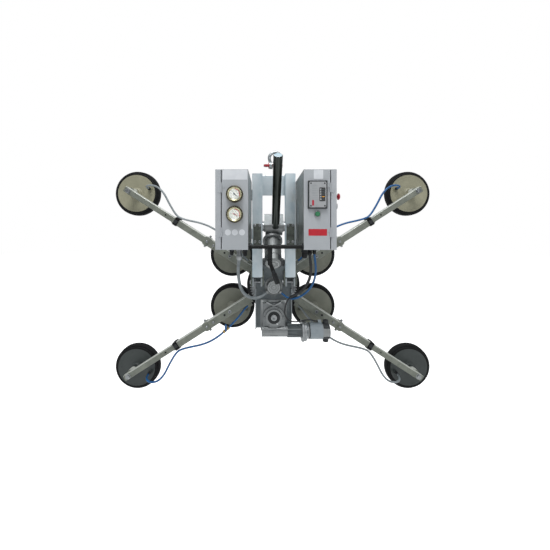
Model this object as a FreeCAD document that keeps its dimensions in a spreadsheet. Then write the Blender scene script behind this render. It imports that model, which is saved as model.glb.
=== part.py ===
"""Vacuum lifter for glass panels: eight suction pads on a turning cross, hung from a tilting arm.

Machine frame used below: x to the right, d ahead of the pad plates (towards the operator) and z above the
slewing axis. The model's own origin is the crane hook's seat in the shackle, +Y away from the operator.
"""
import FreeCAD, Part
import math
import os
import re
from FreeCAD import Placement, Rotation, Vector

doc = FreeCAD.newDocument("panel_lifter")
sheet = doc.addObject("Spreadsheet::Sheet", "Sizes")

# Driving dimensions in millimetres and degrees
SIZES = {
    "pad_r": 150, "plate_r": 134, "plate_t": 8, "seal_h": 34, "ball_r": 18, "ball_ahead": 47, "ball_fit": 0.3,
    "stem_r": 9, "boss_r": 34, "boss_h": 14, "port_reach": 96.5, "port_r": 8, "port_h": 20,
    "arm_ahead": 92, "arm_angle": 32.6, "socket": 50, "middle": 43, "inner": 36, "tube_wall": 3,
    "slide_fit": 0.5,
    "socket_start": 72, "socket_end": 517, "middle_end": 752, "inner_start": 480, "pad_reach": 1089,
    "arm_tail": 28, "inner_pad_reach": 324, "holder_r": 25, "holder_mouth": 36, "strap_w": 28, "strap_t": 4,
    "hub_r": 165, "hub_t": 8, "hub_back_t": 12, "manifold_r": 55, "spindle_r": 20, "run_fit": 0.08,
    "gear_module": 5, "ring_teeth": 56, "pinion_teeth": 12, "gear_w": 28, "gear_backlash": 0.8, "race_r": 118,
    "race_t": 30, "ring_gap": 4, "carrier_t": 12, "carrier_w": 220, "carrier_top": 120, "carrier_drop": 255,
    "carrier_lip": 26, "rail": 60, "rail_x": 97, "rail_wall": 4, "rail_foot": 62, "rail_top": 672,
    "beam_h": 66, "beam_d": 34, "gusset_h": 56, "tilt_rise": 362, "shaft_r": 20, "lean": 43,
    "pole_r": 22.5, "pole_top": 476, "pole_x": 9, "pole_off": 30, "pole_low": 24, "foot_h": 56,
    "lug_along": 370, "lug_off": 60, "lug_t": 22, "lug_r": 26,
    "pin_r": 9.5, "pin_fit": 0.5, "bow_wire": 8, "bow_in": 22, "bow_gap": 27, "shackle_len": 60,
    "gearbox_half": 50, "worm_drop": 36, "worm_x": -8, "flange_r": 57, "motor_r": 47, "motor_end": 262,
    "slew_box": 144, "slew_box_d": 73, "slew_worm": 88, "slew_motor_r": 47, "slew_motor_end": 330,
    "box_x": 132, "box_w": 156, "box_h": 382, "box_foot": 247, "box_back": 190, "box_front": 520,
    "sheet_t": 2.5, "strip_w": 27, "door_t": 3, "door_gap": 4, "hinge_r": 4, "hinge_len": 46, "hinge_low": 61,
    "hinge_high": 272, "foot_low": 40, "foot_high": 270, "box_foot_h": 60,
    "gauge_r": 40, "gauge_h": 22, "panel_w": 91, "panel_h": 132, "button_r": 11, "knob_r": 16,
    "handle_r": 10, "handle_ahead": 505, "handle_up": 14, "stem_x": -28, "lever_drop": 75,
    "union_r": 42, "union_h": 46, "hose_r": 6, "vacuum_hose_r": 9, "cable_r": 4, "gland_r": 12, "gland_h": 14,
}
for row, (alias, value) in enumerate(SIZES.items(), start=1):
    sheet.set(f"A{row}", alias)
    sheet.set(f"B{row}", str(value))
    sheet.setAlias(f"B{row}", alias)
doc.recompute()

# Stack of pieces along the slewing axis, and the hook's seat, as formulas of the sizes
HUB_FACE = "(arm_ahead + socket / 2 + hub_t)"
GEAR_FACE = f"({HUB_FACE} + gear_w)"
CARRIER_BACK = f"({GEAR_FACE} + ring_gap)"
CARRIER_FACE = f"({CARRIER_BACK} + carrier_t)"
RAIL_FACE = f"({CARRIER_FACE} + rail)"
TILT_AHEAD = f"({CARRIER_FACE} + rail / 2)"
HOOK_AHEAD = f"({TILT_AHEAD} + lug_along * sin(lean) - lug_off * cos(lean))"
HOOK_RISE = "(tilt_rise + lug_along * cos(lean) + lug_off * sin(lean) + shackle_len)"
PINION_DROP = "(gear_module * (ring_teeth + pinion_teeth) / 2)"
WORM_RISE = f"(0 - {PINION_DROP} - slew_worm)"
HANDLE_RISE = "(box_foot + handle_up)"
LEVER_RISE = f"({HANDLE_RISE} - lever_drop)"
nodes = {}


def tied(text):
    """A formula in alias names, as the document's expression."""
    return re.sub(r"\b(?!sin\b|cos\b)[a-z]\w*", lambda word: "Sizes." + word.group(0), str(text))


ruler = doc.addObject("App::FeaturePython", "Ruler")
ruler.addProperty("App::PropertyFloat", "reading")


def number(text):
    """The value of a formula, for shapes that are made directly."""
    ruler.setExpression("reading", tied(text))
    ruler.recompute()
    return ruler.reading


def bind(obj, **formulas):
    for prop, text in formulas.items():
        obj.setExpression(prop.replace("__", "."), tied(text))
    return obj


def set_base(obj, x, d, z, home=True):
    """Ties an object's place to the machine frame, or to a piece's own frame."""
    y_text, z_text = (f"{HOOK_AHEAD} - ({d})", f"({z}) - {HOOK_RISE}") if home else (f"0 - ({d})", z)
    return bind(obj, Placement__Base__x=x, Placement__Base__y=y_text, Placement__Base__z=z_text)


def box(x, d, z, home=True):
    solid = doc.addObject("Part::Box", "block")
    bind(solid, Length=f"({x[1]}) - ({x[0]})", Width=f"({d[1]}) - ({d[0]})", Height=f"({z[1]}) - ({z[0]})")
    return set_base(solid, x[0], d[1], z[0], home)


AXES = {"x": Rotation(Vector(0, 1, 0), 90), "y": Rotation(Vector(1, 0, 0), -90), "z": Rotation(),
        "-y": Rotation(Vector(1, 0, 0), 90), "-x": Rotation(Vector(0, 1, 0), -90)}


def rod(radius, length, axis, x, d, z, home=True, top_radius=None):
    """A round bar from its start along an axis; "y" runs away from the operator, "-y" towards them."""
    solid = doc.addObject("Part::Cone" if top_radius else "Part::Cylinder", "bar")
    solid.Placement = Placement(Vector(), AXES[axis])
    if top_radius:
        bind(solid, Radius1=radius, Radius2=top_radius, Height=length)
    else:
        bind(solid, Radius=radius, Height=length)
    return set_base(solid, x, d, z, home)


def fuse(*items):
    joined = doc.addObject("Part::MultiFuse", "joined")
    joined.Shapes = list(items)
    joined.Refine = True
    return joined


def cut(base, *tools):
    pocketed = doc.addObject("Part::Cut", "pocketed")
    pocketed.Base = base
    pocketed.Tool = tools[0] if len(tools) == 1 else fuse(*tools)
    return pocketed


def group(*items):
    bundle = doc.addObject("Part::Compound", "bundle")
    bundle.Links = list(items)
    return bundle


def node(label, obj):
    obj.Label = label
    nodes[label] = obj
    return obj


def turned_arm(obj, angle):
    """Turns a piece made along +X in the machine frame to its arm's direction about the slewing axis."""
    obj.Placement = Placement(Vector(), Rotation(Vector(0, 1, 0), -10))
    bind(obj, Placement__Rotation__Angle=f"0 - ({angle})")
    return set_base(obj, 0, 0, 0)


def tilted(obj):
    """Leans a piece of the lifting arm, made upright on the tilt shaft, towards the operator."""
    obj.Placement = Placement(Vector(), Rotation(Vector(1, 0, 0), 10))
    bind(obj, Placement__Rotation__Angle="lean")
    return set_base(obj, 0, TILT_AHEAD, "tilt_rise")


def spun(obj, axis, turn, x, d, z):
    """Turns a piece made about its own origin and sets it in the machine frame."""
    obj.Placement = Placement(Vector(), Rotation(axis, turn))
    return set_base(obj, x, d, z)


def lathe(profile, axis="-y"):
    """A solid of revolution from (radius, height) formulas, standing on its own origin along an axis."""
    points = [Vector(number(radius), 0, number(height)) for radius, height in profile]
    face = Part.Face(Part.makePolygon(points + points[:1]))
    solid = doc.addObject("Part::Feature", "turned")
    solid.Shape = face.revolve(Vector(), Vector(0, 0, 1), 360)
    solid.Placement = Placement(Vector(), AXES[axis])
    return solid


def ball(radius, x, d, z, home=True):
    solid = doc.addObject("Part::Sphere", "ball")
    bind(solid, Radius=radius)
    return set_base(solid, x, d, z, home)


# Outer pads: a pressed plate with a ball stem and a hose port, and a rubber seal behind it
ARMS = {"upper_right": "arm_angle", "upper_left": "180 - arm_angle",
        "lower_left": "180 + arm_angle", "lower_right": "360 - arm_angle"}
PORT_TURN = {"upper_right": 130, "upper_left": -130, "lower_left": 130, "lower_right": -130}
PLATE = [(0, "0 - plate_t"), ("plate_r - 4", "0 - plate_t"), ("plate_r", "4 - plate_t"), ("plate_r", -3),
         ("plate_r - 3", 0), ("plate_r - 22", 0), ("plate_r - 26", -2.5), ("boss_r + 6", -2.5), ("boss_r", 0)]
STEM = [("boss_r", "boss_h - 5"), ("boss_r - 6", "boss_h"), ("stem_r", "boss_h"), ("stem_r", "ball_ahead"),
        (0, "ball_ahead")]
POST = [("boss_r", "boss_h - 5"), ("boss_r - 8", "boss_h"), ("holder_r - 4", "boss_h + 6"),
        ("holder_r - 4", "arm_ahead - socket / 2"), (0, "arm_ahead - socket / 2")]
SEAL = [("plate_r - 40", "0 - plate_t"), ("plate_r - 2", "0 - plate_t"), ("pad_r - 8", "2 - plate_t"),
        ("pad_r - 2", "0 - plate_t - 5"), ("pad_r", "0 - plate_t - seal_h + 10"),
        ("pad_r", "0 - plate_t - seal_h"), ("pad_r - 7", "0 - plate_t - seal_h"),
        ("pad_r - 18", "14 - plate_t - seal_h"),
        ("plate_r - 24", "20 - plate_t - seal_h"), ("plate_r - 40", "20 - plate_t - seal_h")]


def port(centre_x, centre_z, angle):
    """Elbow boss on the plate where the vacuum hose plugs in."""
    x, z = f"{centre_x} + port_reach * cos({angle})", f"{centre_z} + port_reach * sin({angle})"
    return rod("port_r", "port_h + 4", "-y", x, -4, z), rod("port_r + 4", "port_h * 0.4 + 4", "-y", x, -4, z)


for name, angle in ARMS.items():
    pad_x, pad_z = f"pad_reach * cos({angle})", f"pad_reach * sin({angle})"
    plate = set_base(lathe(PLATE + STEM), pad_x, 0, pad_z)
    knuckle = ball("ball_r", pad_x, "ball_ahead", pad_z)
    node(f"pad_plate_{name}", fuse(plate, knuckle, *port(pad_x, pad_z, f"{angle} + {PORT_TURN[name]}")))
    node(f"pad_seal_{name}", group(set_base(lathe(SEAL), pad_x, 0, pad_z)))

inner_plates, inner_seals = [], []
for name, angle in ARMS.items():
    pad_x, pad_z = f"inner_pad_reach * cos({angle})", f"inner_pad_reach * sin({angle})"
    plate = set_base(lathe(PLATE + POST), pad_x, 0, pad_z)
    inner_plates.append(fuse(plate, *port(pad_x, pad_z, f"{angle} + {PORT_TURN[name]}")))
    inner_seals.append(set_base(lathe(SEAL), pad_x, 0, pad_z))
node("inner_pad_plates", group(*inner_plates))
node("inner_pad_seals", group(*inner_seals))


# Telescopic arms: a socket with a reducing tube on the rotor, and an inner tube that carries the pad
def square_bar(size, start, end):
    half = f"({size}) / 2"
    ahead = (f"arm_ahead - {half}", f"arm_ahead + {half}")
    return box((start, end), ahead, (f"0 - {half}", half), home=False)


HOLE_R, HOLE_PAST = 5.5, 56
BOLT_R, BOLT_H = 8, 9
clamp_bolts, straps = [], []
NIPPLE_START, NIPPLE_END, NIPPLE_W, NIPPLE_H, NIPPLE_MID = 186, 210.5, 20, 21, 2
OUTWARD = {"upper_right": 1, "upper_left": -1, "lower_left": 1, "lower_right": -1}
for name, angle in ARMS.items():
    foot, tip = [f"{OUTWARD[name]} * (socket / 2 + {height})" for height in (-1, NIPPLE_H)]
    nipple_d = [f"arm_ahead + {NIPPLE_MID} {sign} {NIPPLE_W} / 2" for sign in "-+"]
    nipple = box((NIPPLE_START, NIPPLE_END), nipple_d, sorted((foot, tip), key=number), home=False)
    outside = fuse(nipple, square_bar("socket", "socket_start", "socket_end"),
                   square_bar("socket + 6", "socket_end - 34", "socket_end - 8"),
                   square_bar("middle", "socket_end - 40", "middle_end"))
    bore = square_bar("inner + 2 * slide_fit", "socket_start - 1", "middle_end + 1")
    node(f"arm_socket_{name}", turned_arm(cut(outside, bore), angle))

    tube = square_bar("inner", "inner_start", "pad_reach + arm_tail")
    hollow = square_bar("inner - 2 * tube_wall", "inner_start - 1", "pad_reach - holder_r - 4")
    hole = rod(HOLE_R, "inner + 2", "y", f"middle_end + {HOLE_PAST}", "arm_ahead + inner / 2 + 1", 0,
               home=False)
    cup = rod("holder_r", "arm_ahead - inner / 2 - holder_mouth", "-y", "pad_reach", "holder_mouth", 0,
              home=False)
    head = rod(BOLT_R + 3, BOLT_H, "-y", "pad_reach", "arm_ahead + inner / 2", 0, home=False)
    seat = ball("ball_r + ball_fit", "pad_reach", "ball_ahead", 0, home=False)
    mouth = rod("stem_r + 6", "ball_ahead - holder_mouth + 1", "-y", "pad_reach", "holder_mouth - 1", 0,
                home=False)
    arm = cut(fuse(cut(tube, hollow, hole), cup, head), seat, mouth)
    node(f"arm_{name}", turned_arm(arm, angle))

    bolts = [rod(BOLT_R, BOLT_H, "-y", along, f"arm_ahead + ({size}) / 2", 0, home=False)
             for along, size in (("socket_end - 21", "socket + 6"), ("socket_end - 70", "socket"),
                                 ("inner_pad_reach", "socket"), ("inner_pad_reach + 40", "socket"))]
    clamp_bolts.append(turned_arm(group(*bolts), angle))
    band = cut(square_bar("middle + 2 * strap_t", "middle_end - 10 - strap_w", "middle_end - 10"),
               square_bar("middle", "middle_end - 12 - strap_w", "middle_end"))
    straps.append(turned_arm(band, angle))
node("arm_clamp_bolts", group(*clamp_bolts))
node("hose_straps", group(*straps))


# Rotor hub: two plates that clamp the sockets, the manifold with its spindle, and the toothed ring
def gear(teeth, bore, first_angle):
    """Involute spur gear about its own origin, its face towards the operator."""
    module, width = number("gear_module"), number("gear_w")
    pitch_r = module * teeth / 2
    base_r = pitch_r * math.cos(math.radians(20))
    half_pitch = (math.pi * module / 2 - number("gear_backlash")) / 2 / pitch_r

    def roll(radius):
        slope = math.acos(min(1.0, base_r / radius))
        return math.tan(slope) - slope

    root_r, tip_r = pitch_r - 1.25 * module, pitch_r + 0.9 * module
    flank = [(root_r, half_pitch + roll(pitch_r))]
    for radius in (max(base_r, root_r + 0.5), pitch_r, tip_r):
        flank.append((radius, half_pitch + roll(pitch_r) - roll(radius)))
    points = []
    for tooth in range(int(teeth)):
        middle = math.radians(first_angle) + tooth * 2 * math.pi / teeth
        turns = [(radius, middle - half) for radius, half in flank]
        turns += [(radius, middle + half) for radius, half in flank[::-1]]
        points += [Vector(radius * math.cos(turn), 0, radius * math.sin(turn)) for radius, turn in turns]
    disc = Part.Face(Part.makePolygon(points + points[:1])).extrude(Vector(0, -width, 0))
    solid = doc.addObject("Part::Feature", "gear")
    hole = Part.makeCylinder(number(bore), width + 2, Vector(0, 1, 0), Vector(0, -1, 0))
    solid.Shape = disc.cut(hole) if number(bore) > 0 else disc
    return solid


ring_teeth, pinion_teeth = number("ring_teeth"), number("pinion_teeth")
ring = gear(ring_teeth, "race_r + run_fit", -90 + 180 / ring_teeth)
node("slewing_ring", group(set_base(ring, 0, HUB_FACE, 0)))
SOCKET_BACK, SOCKET_FACE = "arm_ahead - socket / 2", "arm_ahead + socket / 2"
node("hub_front_plate", cut(rod("hub_r", "hub_t", "-y", 0, SOCKET_FACE, 0),
                            rod("manifold_r - 15", "hub_t + 2", "-y", 0, f"{SOCKET_FACE} - 1", 0)))
node("hub_back_plate", group(rod("hub_r", "hub_back_t", "y", 0, SOCKET_BACK, 0)))
spindle_l = f"{CARRIER_FACE} + union_h / 2 - ({SOCKET_FACE})"
node("manifold", fuse(rod("manifold_r", "socket", "-y", 0, SOCKET_BACK, 0),
                      rod("spindle_r", spindle_l, "-y", 0, SOCKET_FACE, 0)))
shaft_end = f"{CARRIER_FACE} + slew_box_d + 4"
pinion_shaft = rod("spindle_r - 2", f"{shaft_end} - {HUB_FACE}", "-y", 0, HUB_FACE, f"0 - {PINION_DROP}")
pinion = set_base(gear(pinion_teeth, "0", 90), 0, HUB_FACE, f"0 - {PINION_DROP}")
node("slewing_pinion", fuse(pinion, pinion_shaft))


# Lifting arm: pole, lug, tilt gearbox and motor, made upright on the tilt shaft and then leaned
pole = fuse(rod("pole_r", "pole_top - pole_low - 3", "z", "pole_x", "pole_off", "pole_low", home=False),
            rod("pole_r", 3, "z", "pole_x", "pole_off", "pole_top - 3", home=False, top_radius="pole_r - 3"))
web = fuse(box(("0 - lug_t / 2", "lug_t / 2"), ("0 - lug_off", "pole_off"),
               ("lug_along - lug_r * 1.5", "lug_along + lug_r"), home=False),
           rod("lug_r", "lug_t", "x", "0 - lug_t / 2", "0 - lug_off", "lug_along", home=False))
eye = rod("pin_r + pin_fit", "lug_t + 2", "x", "0 - lug_t / 2 - 1", "0 - lug_off", "lug_along", home=False)
pole_space = rod("pole_r", "pole_top", "z", "pole_x", "pole_off", 0, home=False)
node("lifting_pole", tilted(group(pole, cut(web, eye, pole_space))))

SEAT_FIT = 0.3
CASING_R, TUNNEL_R, TUNNEL_BACK, TUNNEL_FRONT, FLANGE_T = 54, 27, -24, 80, 16
BELL_L, BELL_R = 30, 46
half = "gearbox_half"
casing = fuse(rod(CASING_R, f"2 * {half}", "x", f"0 - {half}", 0, 0, home=False),
              rod("shaft_r + 14", f"2 * {half} + 16", "x", f"0 - {half} - 8", 0, 0, home=False),
              box((f"0 - {half} - 6", f"{half} + 6"), (-48, 48), ("foot_h - 12", "foot_h"), home=False),
              rod(TUNNEL_R, TUNNEL_FRONT - TUNNEL_BACK, "-y", "worm_x", TUNNEL_BACK, "0 - worm_drop",
                  home=False),
              rod(TUNNEL_R, BELL_L, "-y", "worm_x", TUNNEL_FRONT - BELL_L, "0 - worm_drop", home=False,
                  top_radius=BELL_R))
bore = rod("shaft_r + run_fit", f"2 * {half} + 40", "x", f"0 - {half} - 20", 0, 0, home=False)
pole_seat = rod(f"pole_r + {SEAT_FIT}", "pole_top", "z", "pole_x", "pole_off", f"pole_low - {SEAT_FIT}",
                home=False)
node("tilt_gearbox", tilted(cut(casing, bore, pole_seat)))
FLANGE_BOLT_R, FLANGE_BOLT_H, FLANGE_BOLTS = 4.5, 6, 8
flange = rod("flange_r", FLANGE_T, "-y", "worm_x", TUNNEL_FRONT, "0 - worm_drop", home=False)
motor_start = TUNNEL_FRONT + FLANGE_T
bolt_circle = "(flange_r - 8.5)"
flange_heads = [rod(FLANGE_BOLT_R, FLANGE_BOLT_H, "-y", f"worm_x + {bolt_circle} * cos({turn})", motor_start,
                    f"{bolt_circle} * sin({turn}) - worm_drop", home=False)
                for turn in (360 / FLANGE_BOLTS * (index + 0.5) for index in range(FLANGE_BOLTS))]
node("tilt_motor_flange", tilted(fuse(flange, *flange_heads)))
CAP_L, NECK_L, LID_L, BRUSH_R, BRUSH_OUT = 44, 18, 6, 16, 7
NECK_STEP, CAP_STEP = 4, 3


def motor(axis, start, end, radius, x, d, z, home):
    """A round motor can with a neck, its end cap, and the two brush holders that stand out of the cap."""
    def toward(along):
        return (x, f"({d}) + ({along})", z) if axis == "-y" else (f"({x}) + ({along})", d, z)

    can_start, can_l = f"{start} + {NECK_L}", f"{end} - {CAP_L} - ({start}) - {NECK_L}"
    neck = rod(f"{radius} - {NECK_STEP}", NECK_L, axis, *toward(start), home=home)
    can = rod(radius, can_l, axis, *toward(can_start), home=home)
    cap_r = f"{radius} - {CAP_STEP}"
    body = rod(cap_r, f"{CAP_L} - {LID_L}", axis, *toward(f"{end} - {CAP_L}"), home=home)
    lid = rod(cap_r, LID_L, axis, *toward(f"{end} - {LID_L}"), home=home, top_radius=f"{cap_r} - {LID_L}")
    cap = fuse(body, lid)
    x_mid, d_mid, z_mid = toward(f"{end} - {CAP_L} / 2")
    span, half = f"2 * ({radius} + {BRUSH_OUT})", f"({radius} + {BRUSH_OUT})"
    if axis == "-y":
        brushes = rod(BRUSH_R, span, "x", f"({x_mid}) - {half}", d_mid, z_mid, home=home)
    else:
        brushes = rod(BRUSH_R, span, "z", x_mid, d_mid, f"({z_mid}) - {half}", home=home)
    return fuse(neck, can), cap, cut(brushes, cap)


tilt_motor = motor("-y", motor_start, "motor_end", "motor_r", "worm_x", 0, "0 - worm_drop", False)
node("tilt_motor", tilted(group(*tilt_motor)))


# Bow shackle: two ears, legs that widen to the bow, and a pin with a flat eye head
def shackle_bow():
    wire, bow_r, low = number("bow_wire"), number("bow_in + bow_wire"), -number("shackle_len")
    ear_x = number("bow_gap") / 2
    top = Vector(bow_r, 0, -number("bow_in"))
    ring_face = Part.Face(Part.Wire(Part.Circle(top, Vector(0, 0, 1), wire).toShape()))
    shape = ring_face.revolve(Vector(0, 0, top.z), Vector(0, -1, 0), 180)
    for side in (1, -1):
        foot = Vector(side * (ear_x + wire), 0, low)
        head = Vector(side * top.x, 0, top.z)
        leg = Part.makeCylinder(wire, (head - foot).Length, foot, head - foot)
        ear = Part.makeCylinder(2.2 * wire, 2 * wire, Vector(foot.x - wire, 0, low), Vector(1, 0, 0))
        knob = Part.makeSphere(wire, head)
        shape = shape.fuse([leg, ear, knob])
    hole = Part.makeCylinder(number("pin_r + pin_fit / 2"), 200, Vector(-100, 0, low), Vector(1, 0, 0))
    feature = doc.addObject("Part::Feature", "bow")
    feature.Shape = shape.cut(hole).removeSplitter()
    return feature


node("shackle_bow", shackle_bow())
PIN_SIDE = "(bow_gap / 2 + 2 * bow_wire)"
PIN_RISE, HEAD_X, HEAD_T, HEAD_HOLE_R = f"{HOOK_RISE} - shackle_len", f"0 - {PIN_SIDE} - 16", 9, 5
head_ring = cut(rod("pin_r + 4", HEAD_T, "z", HEAD_X, HOOK_AHEAD, f"{PIN_RISE} - {HEAD_T} / 2"),
                rod(HEAD_HOLE_R, HEAD_T + 2, "z", HEAD_X, HOOK_AHEAD, f"{PIN_RISE} - {HEAD_T} / 2 - 1"))
pin_parts = [rod("pin_r", f"2 * {PIN_SIDE} + 9", "x", f"0 - {PIN_SIDE}", HOOK_AHEAD, PIN_RISE),
             rod("pin_r + 5", 5, "-x", f"0 - {PIN_SIDE}", HOOK_AHEAD, PIN_RISE), head_ring]
node("shackle_pin", fuse(*pin_parts))

# Frame: two rails with the tilt shaft through them, a cross beam behind and the clevis brackets in front
SIDES = {"left": -1, "right": 1}
rails, brackets, clevis_pins, bushes, frame_bolts = [], [], [], [], []
RAIL_OUT = "(rail_x + rail / 2)"
CLEVIS_RISE, CLEVIS_R, CHEEK_T, CHEEK_R, OUTER_TOP, INNER_TOP = 30, 8, 9, 26, 134, 100
PLATE_T, FACING_HALF, FACING_DROP, FACING_CORNER, BOLT_ROW = 8, 23, 112, 9, "(tilt_rise + 6)"
for side in SIDES.values():
    mid = f"({side} * rail_x)"
    outer = box((f"{mid} - rail / 2", f"{mid} + rail / 2"), (CARRIER_FACE, RAIL_FACE),
                ("rail_foot", "rail_top"))
    inside = box((f"{mid} - rail / 2 + rail_wall", f"{mid} + rail / 2 - rail_wall"),
                 (f"{CARRIER_FACE} + rail_wall", f"{RAIL_FACE} - rail_wall"),
                 ("rail_foot - 1", "rail_top - rail_wall"))
    bore = rod("shaft_r", "rail + 2", "x", f"{mid} - rail / 2 - 1", TILT_AHEAD, "tilt_rise")
    rails.append(cut(outer, inside, bore))
    facing_d, inset = (RAIL_FACE, f"{RAIL_FACE} + {PLATE_T}"), FACING_HALF - FACING_CORNER
    facing = fuse(box((f"{mid} - {FACING_HALF}", f"{mid} + {FACING_HALF}"), facing_d,
                      (f"tilt_rise - {FACING_DROP}", BOLT_ROW)),
                  box((f"{mid} - {inset}", f"{mid} + {inset}"), facing_d,
                      (BOLT_ROW, f"{BOLT_ROW} + {FACING_CORNER}")),
                  *[rod(FACING_CORNER, PLATE_T, "-y", f"{mid} + {x}", RAIL_FACE, BOLT_ROW)
                    for x in (-inset, inset)])
    brackets.append(facing)
    eye = rod(CLEVIS_R, "2 * rail", "x", f"{mid} - rail", TILT_AHEAD, CLEVIS_RISE)
    for outward, top in ((side, OUTER_TOP), (-side, INNER_TOP)):
        span = [f"{mid} + {outward} * (rail / 2 + {off})" for off in (0, CHEEK_T)]
        span.sort(key=number)
        cheek_d = (f"{TILT_AHEAD} - {CHEEK_R}", f"{TILT_AHEAD} + {CHEEK_R}")
        cheek = fuse(box(span, cheek_d, (CLEVIS_RISE, top)),
                     rod(CHEEK_R, CHEEK_T, "x", span[0], TILT_AHEAD, CLEVIS_RISE))
        brackets.append(cut(cheek, eye))
    pin_start = f"{mid} - rail / 2 - {CHEEK_T}"
    pin_l = f"rail + 2 * {CHEEK_T} + 3"
    clevis_pins.append(fuse(rod(CLEVIS_R, pin_l, "x", pin_start, TILT_AHEAD, CLEVIS_RISE),
                            rod(CLEVIS_R + 4, 6, "-x", pin_start, TILT_AHEAD, CLEVIS_RISE)))
    ends = sorted((f"{side} * (gearbox_half + 8.3)", f"{side} * (rail_x - rail / 2)"), key=number)
    bushes.append(cut(rod("shaft_r + 9", f"({ends[1]}) - ({ends[0]})", "x", ends[0], TILT_AHEAD, "tilt_rise"),
                      rod("shaft_r", "rail", "x", f"({ends[0]}) - 5", TILT_AHEAD, "tilt_rise")))
    for x in (-inset, inset):
        for z in (BOLT_ROW, "tilt_rise - 90"):
            frame_bolts.append(rod(7, 8, "-y", f"{mid} + {x}", f"{RAIL_FACE} + {PLATE_T}", z))
node("rails", group(*rails))
node("clevis_brackets", group(*brackets))
frame_bolts += clevis_pins
shaft = rod("shaft_r", f"2 * {RAIL_OUT}", "x", f"0 - {RAIL_OUT}", TILT_AHEAD, "tilt_rise")
node("tilt_shaft", fuse(*bushes, shaft))
across = (f"0 - {RAIL_OUT}", RAIL_OUT)
beam_foot = "rail_top - beam_h"
BEAM_WALL = 6
trough = box((f"0 - {RAIL_OUT} - 1", f"{RAIL_OUT} + 1"),
             (f"{CARRIER_FACE} - beam_d - 1", f"{CARRIER_FACE} - {BEAM_WALL}"),
             (f"{beam_foot} + {BEAM_WALL}", f"rail_top - {BEAM_WALL}"))
beam = cut(box(across, (f"{CARRIER_FACE} - beam_d", CARRIER_FACE), (beam_foot, "rail_top")), trough)
gusset = box(across, (f"{CARRIER_FACE} - {BEAM_WALL}", CARRIER_FACE), (f"{beam_foot} - gusset_h", beam_foot))
node("cross_beam", fuse(beam, gusset))

# Carrier plate: holds the bearing's inner ring, the clevis lugs, the union and the slewing gearbox
flat = box(("0 - carrier_w / 2", "carrier_w / 2"), (CARRIER_BACK, CARRIER_FACE),
           ("0 - carrier_drop", "carrier_top"))
LIP_T, LIP_TOP, RIGHT_LIP_END, LUG_IN, LUG_OUT, LUG_LOW, LUG_TOP = 6, -12, -195, 19.5, 29.5, 8, 56
lip_spans = ((("0 - carrier_w / 2", f"{LIP_T} - carrier_w / 2"), "0 - carrier_drop"),
             ((f"carrier_w / 2 - {LIP_T}", "carrier_w / 2"), RIGHT_LIP_END))
lips = [box(span, (CARRIER_FACE, f"{CARRIER_FACE} + carrier_lip"), (lip_end, LIP_TOP))
        for span, lip_end in lip_spans]
lugs = []
for side in SIDES.values():
    pin_hole = rod(CLEVIS_R, "rail", "x", f"{side} * rail_x - rail / 2", TILT_AHEAD, CLEVIS_RISE)
    for near, far in ((-LUG_OUT, -LUG_IN), (LUG_IN, LUG_OUT)):
        lug = box((f"{side} * rail_x + {near}", f"{side} * rail_x + {far}"),
                  (CARRIER_FACE, f"{RAIL_FACE} - 4"), (LUG_LOW, LUG_TOP))
        lugs.append(cut(lug, pin_hole))
openings = [rod("spindle_r + 8", "carrier_t + 2", "-y", 0, f"{CARRIER_BACK} - 1", z)
            for z in (0, f"0 - {PINION_DROP}")]
node("carrier_plate", cut(fuse(flat, *lips, *lugs), *openings))
node("bearing_inner_ring", cut(rod("race_r", f"{CARRIER_BACK} - {HUB_FACE} - ring_gap", "-y", 0,
                                   f"{HUB_FACE} + ring_gap", 0),
                               rod("race_r - race_t", "gear_w + 8", "-y", 0, HUB_FACE, 0)))
UNION_RIM, FITTING_R, NUT_R, NUT_L, FITTING_TURNS = 6, 10, 13, 9, (218, 322)
fitting_d = f"{CARRIER_FACE} + union_h - 16"
fittings = [turned_arm(fuse(rod(FITTING_R, "union_r + 14", "x", 0, fitting_d, 0, home=False),
                            rod(NUT_R, NUT_L, "x", "union_r + 2", fitting_d, 0, home=False)), turn)
            for turn in FITTING_TURNS]
union = fuse(rod("union_r + 12", 8, "-y", 0, CARRIER_FACE, 0),
             rod("union_r", f"union_h - {UNION_RIM}", "-y", 0, CARRIER_FACE, 0),
             rod("union_r", UNION_RIM, "-y", 0, f"{CARRIER_FACE} + union_h - {UNION_RIM}", 0,
                 top_radius="union_r - 5"), *fittings)
spindle_bore = rod("spindle_r + run_fit", "union_h / 2 + 1.5", "-y", 0, f"{CARRIER_FACE} - 1", 0)
node("rotary_union", cut(union, spindle_bore))

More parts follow.
